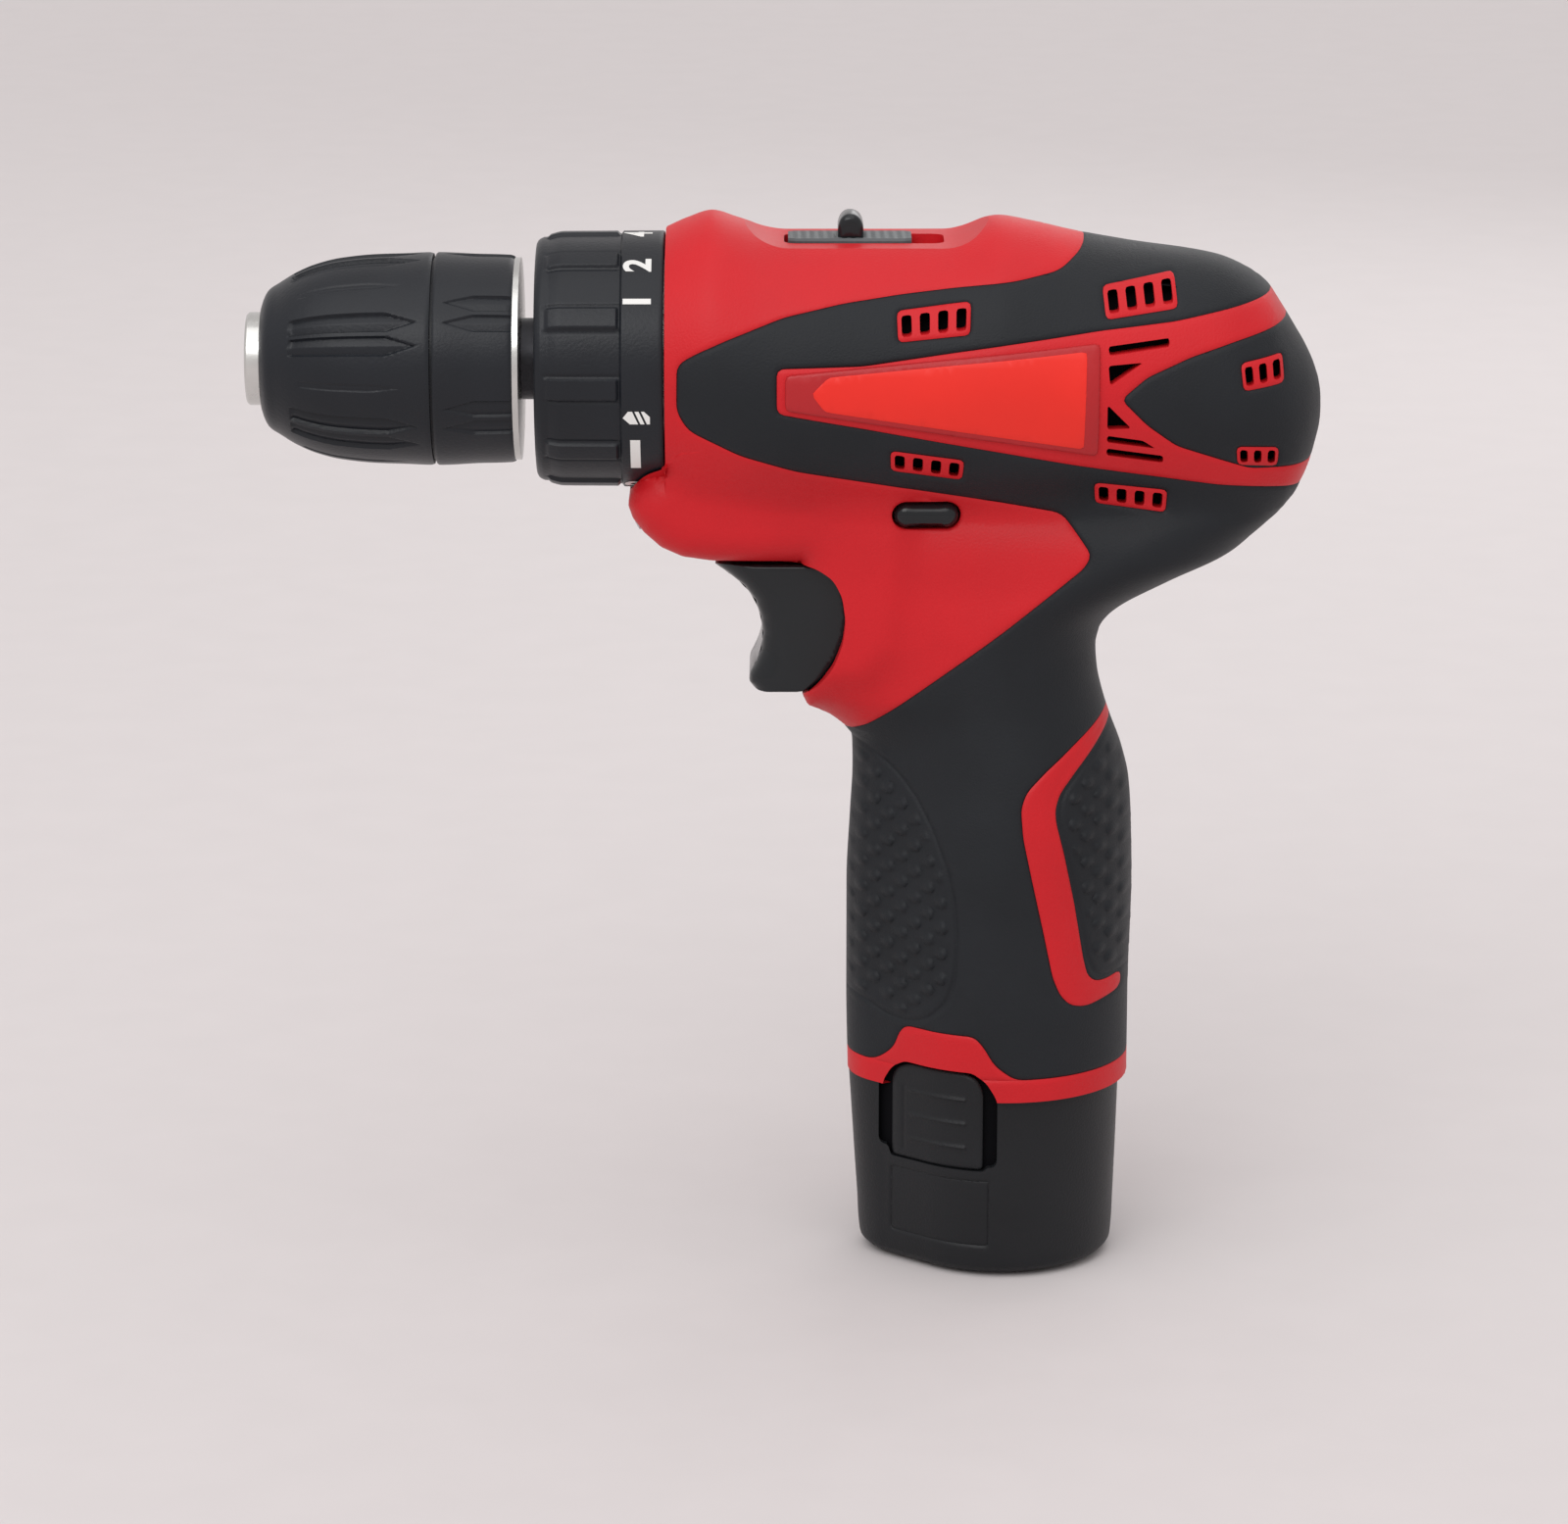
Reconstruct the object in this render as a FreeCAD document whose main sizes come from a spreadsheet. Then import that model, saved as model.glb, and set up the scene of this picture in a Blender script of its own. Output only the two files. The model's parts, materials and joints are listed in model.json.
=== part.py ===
import FreeCAD, Part
import math
import os
import re

import Sketcher
from FreeCAD import Placement, Rotation, Vector

# Cordless drill. Millimetres. The spindle axis is X and the chuck's mouth is the origin:
# +X runs back towards the motor, +Z is up, and the drill's left side faces -Y.

doc = FreeCAD.newDocument("CordlessDrill")
sheet = doc.addObject("Spreadsheet::Sheet", "Sizes")

SIZES = {
    # clearances between pieces
    "gap": 0.3,
    "running": 0.05,
    # chuck
    "nose_radius": 8.0,
    "bore_radius": 5.05,
    "bore_length": 12.0,
    "jaw_radius": 3.0,
    "jaw_length": 25.0,
    "jaw_lean": 15.0,
    "jaw_start": 0.8,
    "jaw_travel": 17.97,
    "jaw_closed": 0.4,
    "sleeve_radius": 18.3,
    "body_radius": "=sleeve_radius - 3.7",
    "nut_front": 18.0,
    "nut_width": 5.6,
    "sleeve_front": 2.4,
    "sleeve_joint": 32.2,
    "chuck_rear": 47.2,
    "thread_radius": 4.7,
    # clutch collar and gear case
    "collar_front": 50.0,
    "collar_rear": 71.5,
    "collar_nose_radius": 20.1,
    "collar_radius": 22.0,
    "collar_wall": 2.4,
    "tube_radius": 12.5,
    "tube_front": 53.0,
    "case_front": 74.4,
    "case_rear": 107.0,
    "case_radius": 19.0,
    "case_wall": 1.6,
    "clutch_nut_front": 54.5,
    "clutch_nut_width": 4.0,
    "clutch_travel": 3.1,
    # planetary gears
    "module": 0.6,
    "tooth_play": 0.12,
    "ring_teeth": 48,
    "first_sun_teeth": 12,
    "second_sun_teeth": 18,
    "third_sun_teeth": 24,
    "ring_outside": 17.2,
    "carrier_radius": 13.2,
    "pin_radius": 1.2,
    "shift_travel": 4.0,
    # motor
    "can_front": 107.4,
    "can_rear": 152.0,
    "can_radius": 16.5,
    "can_wall": 1.3,
    "shaft_radius": 1.6,
    "armature_radius": 11.4,
    "commutator_radius": 4.5,
    # housing
    "housing_front": 72.2,
    "housing_rear": 185.0,
    "wall": 2.3,
    "grip_depth": 1.2,
    "handle_bottom": -127.4,
    "screw_radius": 1.5,
    "screw_head_radius": 3.0,
    # controls
    "trigger_half_width": 11.5,
    "trigger_travel": 6.0,
    "button_length": 11.2,
    "button_height": 4.5,
    "button_x": 116.7,
    "button_z": -24.2,
    "button_reach": 22.6,
    "button_travel": 2.5,
    "selector_front": 93.1,
    "selector_rear": 114.2,
    "selector_half_width": 4.5,
    "slot_front": 92.4,
    "slot_rear": 119.8,
    # battery
    "cell_radius": 9.15,
    "cell_length": 65.0,
    "cell_front_x": 115.6,
    "cell_rear_x": 131.8,
    "cell_spread": 9.4,
    "battery_bottom": -160.0,
    "battery_top": -127.8,
    "stick_top": -88.0,
    "stick_skin": 0.75,
    "socket_gap": 0.35,
}

for row, (word, number) in enumerate(SIZES.items(), start=1):
    sheet.set(f"A{row}", word)
    sheet.set(f"B{row}", str(number))
    sheet.setAlias(f"B{row}", word)
doc.recompute()


# ---------------------------------------------------------------- helpers


def bound(text):
    """The expression with every size word pointing at its cell."""
    def link(match):
        word = match.group(0)
        return f"Sizes.{word}" if word in SIZES else word

    return re.sub(r"[A-Za-z_]\w*", link, str(text))


def value(text):
    """What the expression is worth now."""
    return float(sheet.evalExpression(bound(text)))


def bind(item, **expressions):
    for name, text in expressions.items():
        item.setExpression(name, bound(text))
    return item


def stand(item, x=0, y=0, z=0, axis=(0, 0, 1), turn=0):
    """Place an object, with its position bound to the sheet."""
    spot = Vector(value(x), value(y), value(z))
    item.Placement = Placement(spot, Rotation(Vector(*axis), turn))
    for letter, text in (("x", x), ("y", y), ("z", z)):
        if re.search("[a-z]", str(text)):
            item.setExpression(f".Placement.Base.{letter}", bound(text))
    return item


def sketch_outline(body, plane_role, outline):
    """A closed polygon sketch, each corner held by dimensions bound to the sheet."""
    sketch = body.newObject("Sketcher::SketchObject", "Outline")
    plane = [item for item in body.Origin.OriginFeatures if item.Role == plane_role][0]
    sketch.AttachmentSupport = [(plane, "")]
    sketch.MapMode = "FlatFace"
    corners = [Vector(value(a), value(b), 0) for a, b in outline]
    count = len(corners)
    sides = [Part.LineSegment(corners[i], corners[(i + 1) % count]) for i in range(count)]
    sketch.addGeometry(sides, False)
    rules = [Sketcher.Constraint("Coincident", i, 2, (i + 1) % count, 1) for i in range(count)]
    for i, corner in enumerate(corners):
        rules.append(Sketcher.Constraint("DistanceX", -1, 1, i, 1, corner.x))
        rules.append(Sketcher.Constraint("DistanceY", -1, 1, i, 1, corner.y))
    sketch.addConstraint(rules)
    for i, (a, b) in enumerate(outline):
        for step, text in ((0, a), (1, b)):
            if re.search("[a-z]", str(text)):
                sketch.setExpression(f"Constraints[{count + 2 * i + step}]", bound(text))
    return sketch


def turned(label, outline):
    """A body turned about X; the outline is (x, radius) corners."""
    body = doc.addObject("PartDesign::Body", label)
    sketch = sketch_outline(body, "XY_Plane", outline)
    spin = body.newObject("PartDesign::Revolution", "Turn")
    spin.Profile = sketch
    spin.ReferenceAxis = (sketch, ["H_Axis"])
    spin.Angle = 360
    return body


def ring(label, front, rear, outside, inside=0):
    return turned(label, [(front, inside), (front, outside), (rear, outside), (rear, inside)])


def slab(label, outline, left, right):
    """A flat piece: (x, z) corners, thick from y=left to y=right."""
    body = doc.addObject("PartDesign::Body", label)
    sketch = sketch_outline(body, "XZ_Plane", outline)
    pad = body.newObject("PartDesign::Pad", "Thickness")
    pad.Profile = sketch
    pad.Length = value(f"({right}) - ({left})")
    pad.Midplane = True
    bind(pad, Length=f"({right}) - ({left})")
    return stand(body, y=f"(({left}) + ({right})) / 2")


def rod(label, axis, start, end, radius, first=0, second=0):
    """A cylinder along X, Y or Z; first and second place it on the other two axes."""
    item = doc.addObject("Part::Cylinder", label)
    item.Radius = value(radius)
    item.Height = value(f"({end}) - ({start})")
    bind(item, Radius=radius, Height=f"({end}) - ({start})")
    if axis == "X":
        return stand(item, start, first, second, (0, 1, 0), 90)
    if axis == "Y":
        return stand(item, first, start, second, (1, 0, 0), -90)
    return stand(item, first, second, start)


def block(label, x0, x1, y0, y1, z0, z1):
    item = doc.addObject("Part::Box", label)
    sizes = (f"({x1}) - ({x0})", f"({y1}) - ({y0})", f"({z1}) - ({z0})")
    item.Length, item.Width, item.Height = (value(text) for text in sizes)
    bind(item, Length=sizes[0], Width=sizes[1], Height=sizes[2])
    return stand(item, x0, y0, z0)


def fuse(label, *pieces):
    item = doc.addObject("Part::MultiFuse", label)
    item.Shapes = list(pieces)
    return item


def cut(label, base, *tools):
    item = doc.addObject("Part::Cut", label)
    item.Base = base
    item.Tool = tools[0] if len(tools) == 1 else fuse(label + "_tools", *tools)
    return item


def common(label, first, second):
    item = doc.addObject("Part::Common", label)
    item.Base = first
    item.Tool = second
    return item


def group(label, *pieces):
    """Several separate solids in one node."""
    item = doc.addObject("Part::Compound", label)
    item.Links = list(pieces)
    return item


def shaped(label, shape, x=0, y=0, z=0):
    """A shape that no document feature makes, such as a toothed wheel."""
    item = doc.addObject("Part::Feature", label)
    item.Shape = shape
    return stand(item, x, y, z)


def mirrored(label, source):
    """The same piece on the other side of the drill."""
    item = doc.addObject("Part::Mirroring", label)
    item.Source = source
    item.Normal = Vector(0, 1, 0)
    item.Base = Vector(0, 0, 0)
    return item


def around(radius, angle):
    """(y, z) of a point on a circle about the spindle, the angle from +Y towards +Z."""
    turn = math.radians(angle)
    return f"({radius}) * {math.cos(turn):.9f}", f"({radius}) * {math.sin(turn):.9f}"


THIRDS = (90, 210, 330)

# ---------------------------------------------------------------- toothed wheels


def tooth_points(x, teeth, module, slack, inward, phase):
    """Corners of straight-sided teeth; slack is the play at the pitch circle."""
    pitch_radius = module * teeth / 2
    half = math.pi * module / 4 - slack / 2
    if inward:
        ends = ((pitch_radius + 1.25 * module, half + 0.3 * module), (pitch_radius - module, half - 0.5 * module))
    else:
        ends = ((pitch_radius - 1.25 * module, half + 0.2 * module), (pitch_radius + module, half - 0.5 * module))
    (root_radius, root_half), (tip_radius, tip_half) = ends
    points = []
    for tooth in range(teeth):
        middle = phase + 2 * math.pi * tooth / teeth
        steps = (
            (root_radius, -root_half),
            (tip_radius, -tip_half),
            (tip_radius, tip_half),
            (root_radius, root_half),
        )
        for radius, half_width in steps:
            angle = middle + half_width / radius
            points.append(Vector(x, radius * math.cos(angle), radius * math.sin(angle)))
    return points


def toothed_face(x, teeth, phase=0, inward=False):
    points = tooth_points(x, teeth, value("module"), value("tooth_play"), inward, math.radians(phase))
    return Part.Face(Part.makePolygon(points + points[:1]))


def wheel(teeth, front, rear, hole=0, phase=0):
    """A toothed wheel about X, with an optional hole."""
    solid = toothed_face(front, teeth, phase).extrude(Vector(rear - front, 0, 0))
    if hole:
        solid = solid.cut(Part.makeCylinder(hole, rear - front, Vector(front, 0, 0), Vector(1, 0, 0)))
    return solid


def inward_ring(front, rear, outside, phase=0):
    """A ring with teeth inside."""
    teeth = int(value("ring_teeth"))
    blank = Part.makeCylinder(outside, rear - front, Vector(front, 0, 0), Vector(1, 0, 0))
    hollow = toothed_face(front, teeth, phase, True).extrude(Vector(rear - front, 0, 0))
    return blank.cut(hollow)


def orbit(sun_word, ring_word="ring_teeth"):
    """How far a planet's axis is from the spindle axis."""
    return f"module * ({ring_word} + {sun_word}) / 4"


def planet_teeth(sun_word):
    return int(round(value(f"(ring_teeth - {sun_word}) / 2")))


# ---------------------------------------------------------------- chuck

jaw_hole_radius = "jaw_radius + running"
nut_rear = "nut_front + nut_width"
groove_front = "nut_front - 0.2"
groove_rear = "nut_front + nut_width + 1.9"
lean_slope = "tan(jaw_lean * 1deg)"


def lean_radius(x, extra):
    """Radius of a cone that runs beside the jaws' outer sides."""
    return f"jaw_start + ({x}) * {lean_slope} + jaw_radius / cos(jaw_lean * 1deg) + {extra}"


chuck_blank = turned("chuck_blank", [
    (0.3, "bore_radius"),
    (0, "bore_radius + 0.3"),
    (0, "nose_radius - 0.4"),
    (0.4, "nose_radius"),
    (4.5, "nose_radius"),
    (4.5, 10.2),
    (6.7, 12.1),
    (groove_front, 12.1),
    (groove_front, lean_radius(groove_front, "0.1")),
    (groove_rear, lean_radius(groove_rear, "0.1")),
    (groove_rear, "body_radius"),
    ("chuck_rear - 4.7", "body_radius"),
    ("chuck_rear - 4.7", "sleeve_radius - 1.8"),
    ("chuck_rear - 1", "sleeve_radius - 1.8"),
    ("chuck_rear - 1", "sleeve_radius - 0.9"),
    ("chuck_rear", "sleeve_radius - 0.9"),
    ("chuck_rear", "thread_radius + running"),
    (28.6, "thread_radius + running"),
    (28.6, 2.6),
    (27.8, 2.6),
    (27.8, "bore_radius + 0.4"),
    ("bore_length", "bore_radius + 0.4"),
    ("bore_length", "bore_radius"),
])


def jaw_axis_rod(label, radius, length, start, angle):
    """A cylinder along one jaw's slanted axis, from start mm behind the chuck's mouth."""
    item = doc.addObject("Part::Cylinder", label)
    item.Radius = value(radius)
    item.Height = value(length)
    bind(item, Radius=radius, Height=length)
    lean = math.radians(value("jaw_lean"))
    turn = math.radians(angle)
    away = value("jaw_start") + start * math.tan(lean)
    outward = Vector(0, math.cos(turn), math.sin(turn))
    direction = Vector(math.cos(lean), 0, 0) + outward * math.sin(lean)
    spot = Vector(start, 0, 0) + outward * away
    item.Placement = Placement(spot, Rotation(Vector(0, 0, 1), direction))
    return item


jaw_holes = [jaw_axis_rod(f"jaw_hole_{n}", jaw_hole_radius, 47, -2, angle) for n, angle in enumerate(THIRDS, 1)]
# The jaw holes end inside the body, in front of its rear flange.
hole_limit = ring("jaw_hole_limit", -3, "chuck_rear - 4.7", 20)
chuck_body = cut("chuck_body", chuck_blank, common("jaw_guideways", fuse("jaw_hole_set", *jaw_holes), hole_limit))


def jaw(label, angle):
    """A round jaw ground to a blunt wedge on the side that grips."""
    lean = math.radians(value("jaw_lean"))
    open_tip = value("jaw_travel") * math.cos(lean)
    rod_blank = jaw_axis_rod(label + "_rod", "jaw_radius", "jaw_length", open_tip, angle)
    face = value("jaw_closed") + value("jaw_travel") * math.sin(lean)
    corners = []
    wedge_reach = 40
    half_width = wedge_reach * math.tan(math.radians(60))
    for distance, side_step in ((face, 0), (face + wedge_reach, half_width), (face + wedge_reach, -half_width)):
        y = distance * math.cos(math.radians(angle)) - side_step * math.sin(math.radians(angle))
        z = distance * math.sin(math.radians(angle)) + side_step * math.cos(math.radians(angle))
        corners.append(Vector(-5, y, z))
    keep = Part.Face(Part.makePolygon(corners + corners[:1])).extrude(Vector(80, 0, 0))
    return common(label, rod_blank, shaped(label + "_wedge", keep))


jaws = [jaw(f"jaw_{n}", angle) for n, angle in enumerate(THIRDS, 1)]

chuck_nut = turned("chuck_nut", [
    ("nut_front", lean_radius("nut_front", "0.25")),
    ("nut_front", 14.5),
    (nut_rear, 14.5),
    (nut_rear, lean_radius(nut_rear, "0.25")),
])

ball_radius = 0.75
ball_x = f"{nut_rear} + 0.95"
thrust_balls = []
for n in range(16):
    ball = doc.addObject("Part::Sphere", f"thrust_ball_{n}")
    ball.Radius = ball_radius
    ball_y, ball_z = around("12.9", 360 / 16 * n)
    thrust_balls.append(stand(ball, ball_x, ball_y, ball_z))
thrust_ball_set = group("thrust_balls", *thrust_balls)

front_sleeve = turned("front_sleeve", [
    ("sleeve_front", "nose_radius + gap"),
    ("sleeve_front", 9.2),
    (3.6, 11.7),
    (5.7, 13.1),
    (8.5, 14.8),
    (11.9, 16.3),
    (16.1, 17.3),
    (22.3, "sleeve_radius - 0.3"),
    (27.4, "sleeve_radius - 0.15"),
    ("sleeve_joint - 0.3", "sleeve_radius"),
    ("sleeve_joint", "sleeve_radius - 0.3"),
    ("sleeve_joint", "body_radius + gap"),
    (nut_rear, "body_radius + gap"),
    (nut_rear, 14.5),
    ("nut_front", 14.5),
    ("nut_front", 12.5),
    (6.4, 12.5),
    (4.2, 10.6),
    (4.2, "nose_radius + gap"),
])

rear_sleeve = turned("rear_sleeve", [
    ("sleeve_joint + 0.5", "body_radius + 0.6"),
    ("sleeve_joint + 0.5", "sleeve_radius - 0.3"),
    ("sleeve_joint + 0.8", "sleeve_radius"),
    (39.4, "sleeve_radius - 0.3"),
    ("chuck_rear - 1.3", "sleeve_radius - 0.5"),
    ("chuck_rear - 1", "sleeve_radius - 0.8"),
    ("chuck_rear - 1", "sleeve_radius - 1.8"),
    ("chuck_rear - 4.7", "sleeve_radius - 1.8"),
    ("chuck_rear - 4.7", "body_radius + 1.2"),
    ("chuck_rear - 7", "body_radius + 0.6"),
])

chuck_screw = turned("chuck_screw", [
    (25.0, 1.4),
    (25.0, 3.6),
    (27.8, 3.6),
    (27.8, 2.4),
    (38.0, 2.4),
    (38.0, 0),
    (26.6, 0),
    (26.6, 1.4),
])

# ---------------------------------------------------------------- spindle and gearbox

carrier_3_front = 77.0
carrier_3_rear = 78.8
planet_3_front = 79.4
planet_3_rear = 84.0
carrier_2_front = 86.6
carrier_2_rear = 88.6
planet_2_front = 89.4
planet_2_rear = 94.0
carrier_1_front = 96.4
carrier_1_rear = 98.2
planet_1_front = 99.2
planet_1_rear = 103.6


def carrier_pins(name, front, rear, sun_word):
    pins = []
    for n, angle in enumerate(THIRDS, 1):
        y, z = around(orbit(sun_word), angle)
        pins.append(rod(f"{name}_pin_{n}", "X", front, rear, "pin_radius", y, z))
    return pins


spindle_shaft = turned("spindle_shaft", [
    (28.8, 2.5),
    (28.8, "thread_radius"),
    ("chuck_rear + 0.1", "thread_radius"),
    ("chuck_rear + 0.1", 7.0),
    (51.0, 7.0),
    (51.0, 6.0),
    (carrier_3_front, 6.0),
    (carrier_3_front, "carrier_radius"),
    (carrier_3_rear, "carrier_radius"),
    (carrier_3_rear, 0),
    (39.0, 0),
    (39.0, 2.5),
])
spindle = fuse("spindle", spindle_shaft, *carrier_pins("spindle", carrier_3_rear - 0.5, planet_3_rear, "third_sun_teeth"))

spindle_bearings = group(
    "spindle_bearings",
    ring("front_bearing", 54.0, 60.0, 9.5, "6 + running"),
    ring("rear_bearing", 67.0, 74.0, 9.5, "6 + running"),
)


def planets(name, sun_word, front, rear):
    """Three planet wheels, each with a gap of its teeth towards the sun."""
    teeth = planet_teeth(sun_word)
    made = []
    for n, angle in enumerate(THIRDS, 1):
        y, z = around(orbit(sun_word), angle)
        # The side that faces the sun is at angle + 180 and has to show a gap.
        phase = angle + 180 + 180 / teeth
        solid = wheel(teeth, front, rear, value("pin_radius + running"), phase)
        made.append(shaped(f"{name}_{n}", solid, 0, y, z))
    return made


first_planets = planets("first_planet", "first_sun_teeth", planet_1_front, planet_1_rear)
second_planets = planets("second_planet_wheel", "second_sun_teeth", planet_2_front, planet_2_rear)
second_planet_set = group("second_planets", *second_planets)
third_planets = planets("third_planet", "third_sun_teeth", planet_3_front, planet_3_rear)


def carrier(label, front, rear, pins, sun_word, sun_front, edge):
    """A disc with pins on its motor side and a sun wheel on its chuck side."""
    sun = wheel(int(value(sun_word)), sun_front, front + 0.5, 0, THIRDS[0])
    return fuse(label, edge, shaped(label + "_sun", sun), *pins)


first_carrier = carrier(
    "first_carrier", carrier_1_front, carrier_1_rear,
    carrier_pins("first_carrier", carrier_1_rear - 0.5, planet_1_rear, "first_sun_teeth"),
    "second_sun_teeth", planet_2_front - 0.2,
    ring("first_carrier_disc", carrier_1_front, carrier_1_rear, "carrier_radius"),
)
locking_teeth = shaped("locking_teeth", wheel(int(value("ring_teeth")), carrier_2_front, carrier_2_rear, 0, THIRDS[0]))
second_carrier = carrier(
    "second_carrier", carrier_2_front, carrier_2_rear,
    carrier_pins("second_carrier", carrier_2_rear - 0.5, planet_2_rear, "second_sun_teeth"),
    "third_sun_teeth", planet_3_front - 0.2,
    locking_teeth,
)


def ring_phase(sun_word):
    """Where the inward ring's teeth sit so that they mesh with planets at THIRDS[0]."""
    teeth = planet_teeth(sun_word)
    step = 360 / value("ring_teeth")
    # An even planet shows a gap to the ring when it shows one to the sun; an odd one shows a tooth.
    return THIRDS[0] + (0 if teeth % 2 == 0 else step / 2)


def ring_gear(label, front, rear, outside, sun_word):
    return shaped(label, inward_ring(front, rear, outside, ring_phase(sun_word)))


first_ring_gear = ring_gear("first_ring_gear", 98.8, 104.2, value("ring_outside"), "first_sun_teeth")
clutch_teeth = ring_gear("clutch_teeth", 79.0, 84.6, value("ring_outside"), "third_sun_teeth")
clutch_lip = ring("clutch_lip", 76.8, 79.0, "ring_outside", 14.0)
clutch_ring_gear = fuse("clutch_ring_gear", clutch_teeth, clutch_lip)
shift_blank = ring_gear("shift_blank", 85.2, 94.2, value("ring_outside - 0.1"), "second_sun_teeth")
shift_groove = ring("shift_groove", 88.8, 90.6, 18, "ring_outside - 1.1")
shift_ring = cut("shift_ring", shift_blank, shift_groove)

ball_orbit = 15.6
case_bore = "case_radius - case_wall"
case_blank = turned("case_blank", [
    ("tube_front", 9.5),
    ("tube_front", "tube_radius"),
    ("case_front - 2.2", "tube_radius"),
    ("case_front - 2.2", "case_radius"),
    ("case_rear", "case_radius"),
    ("case_rear", case_bore),
    (76.6, case_bore),
    (76.6, 9.5),
])
ball_holes = []
clutch_balls = []
for n in range(6):
    y, z = around(str(ball_orbit), 60 * n)
    ball_holes.append(rod(f"ball_hole_{n}", "X", 70, 78, 1.55, y, z))
    ball = doc.addObject("Part::Sphere", f"clutch_ball_{n}")
    ball.Radius = 1.5
    clutch_balls.append(stand(ball, 75.25, y, z))
fork_slots = [
    block("fork_slot_right", "88.6", "90.8 + shift_travel", 5.0, 7.6, 8, 25),
    block("fork_slot_left", "88.6", "90.8 + shift_travel", -7.6, -5.0, 8, 25),
]
gear_case = cut("gear_case", case_blank, *ball_holes, *fork_slots)
clutch_ball_set = group("clutch_balls", *clutch_balls)
clutch_washer = ring("clutch_washer", 70.6, 72.0, 17.6, "tube_radius + gap")
gearbox_rear_plate = ring("gearbox_rear_plate", 104.6, "case_rear - 0.1", f"{case_bore} - 0.1", 5.2)

# ---------------------------------------------------------------- clutch collar

collar_blank = turned("collar_blank", [
    ("collar_front", 8.2),
    ("collar_front", "collar_nose_radius - 0.6"),
    ("collar_front + 0.6", "collar_nose_radius"),
    ("collar_front + 5.1", "collar_radius - 0.6"),
    ("collar_rear - 0.4", "collar_radius"),
    ("collar_rear", "collar_radius - 0.4"),
    ("collar_rear", "collar_radius - collar_wall"),
    ("collar_front + 2.2", "collar_radius - collar_wall - 1.4"),
    ("collar_front + 2.2", 8.2),
])
clutch_collar = collar_blank
clutch_collar.Label = "clutch_collar"
clutch_nut = ring(
    "clutch_nut", "clutch_nut_front", "clutch_nut_front + clutch_nut_width",
    "collar_radius - collar_wall - 1.7", "tube_radius + running",
)


def spring(label, coil_radius, wire, pitch, length):
    """A coil spring whose axis starts at the origin and runs along Z."""
    helix = doc.addObject("Part::Helix", label + "_path")
    helix.Pitch = pitch
    helix.Height = length
    helix.Radius = coil_radius
    round_wire = doc.addObject("Part::Circle", label + "_wire")
    round_wire.Radius = wire
    round_wire.Placement = Placement(Vector(coil_radius, 0, 0), Rotation(Vector(1, 0, 0), 90))
    sweep = doc.addObject("Part::Sweep", label)
    sweep.Sections = [round_wire]
    sweep.Spine = (helix, ["Edge1"])
    sweep.Solid = True
    sweep.Frenet = True
    return sweep


clutch_spring = stand(spring("clutch_spring", 15.0, 0.9, 2.7, 8.4), 60.3, 0, 0, (0, 1, 0), 90)

# ---------------------------------------------------------------- motor

motor_can = turned("motor_can", [
    ("can_front", 4.2),
    ("can_front", "can_radius - 0.8"),
    ("can_front + 0.8", "can_radius"),
    ("can_rear", "can_radius"),
    ("can_rear", "can_radius - can_wall"),
    ("can_front + 1.5", "can_radius - can_wall"),
    ("can_front + 1.5", 4.2),
])


def magnet(name, side):
    """Half a ring of magnet, on one side of the armature."""
    whole = ring(name + "_ring", "can_front + 6", "can_rear - 8", "can_radius - can_wall - 0.05", "armature_radius + 0.6")
    half = block(name + "_half", 100, 160, -30, 30, 2 if side > 0 else -30, 30 if side > 0 else -2)
    return common(name, whole, half)


motor_magnets = group("motor_magnets", magnet("upper_magnet", 1), magnet("lower_magnet", -1))
motor_end_bell = turned("motor_end_bell", [
    ("can_rear + 0.05", 4.2),
    ("can_rear + 0.05", "can_radius - 0.2"),
    ("can_rear + 2.5", "can_radius - 0.2"),
    ("can_rear + 4", "can_radius - 3"),
    ("can_rear + 6", "can_radius - 9"),
    ("can_rear + 6", 4.2),
])
motor_bushes = group(
    "motor_bushes",
    ring("front_bush", "can_front", "can_front + 3.5", 4.15, "shaft_radius + running"),
    ring("rear_bush", "can_rear + 1.5", "can_rear + 6", 4.15, "shaft_radius + running"),
)
rotor_shaft = ring("rotor_shaft", 98.8, "can_rear + 5.5", "shaft_radius")
pinion_solid = wheel(int(value("first_sun_teeth")), 98.9, 104.0, value("shaft_radius"), THIRDS[0])
motor_pinion = shaped("motor_pinion", pinion_solid)


def armature_core():
    """Laminated core: five winding slots between the poles."""
    core = ring("armature_round", "can_front + 8", "can_rear - 12", "armature_radius", "shaft_radius")
    slots = []
    for n in range(5):
        y, z = around("armature_radius - 2.4", 72 * n)
        slots.append(rod(f"winding_slot_{n}", "X", 100, 160, 2.0, y, z))
        y, z = around("armature_radius", 72 * n)
        slots.append(rod(f"slot_mouth_{n}", "X", 100, 160, 1.0, y, z))
    return cut("armature", core, *slots)


armature = armature_core()
commutator = ring("commutator", "can_rear - 9", "can_rear - 1", "commutator_radius", "shaft_radius")
carbon_brushes = group(
    "carbon_brushes",
    block("right_brush", "can_rear - 7", "can_rear - 2.5", "commutator_radius + 0.1", "commutator_radius + 7", -2, 2),
    block("left_brush", "can_rear - 7", "can_rear - 2.5", "-commutator_radius - 7", "-commutator_radius - 0.1", -2, 2),
)

# ---------------------------------------------------------------- housing forms

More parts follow.
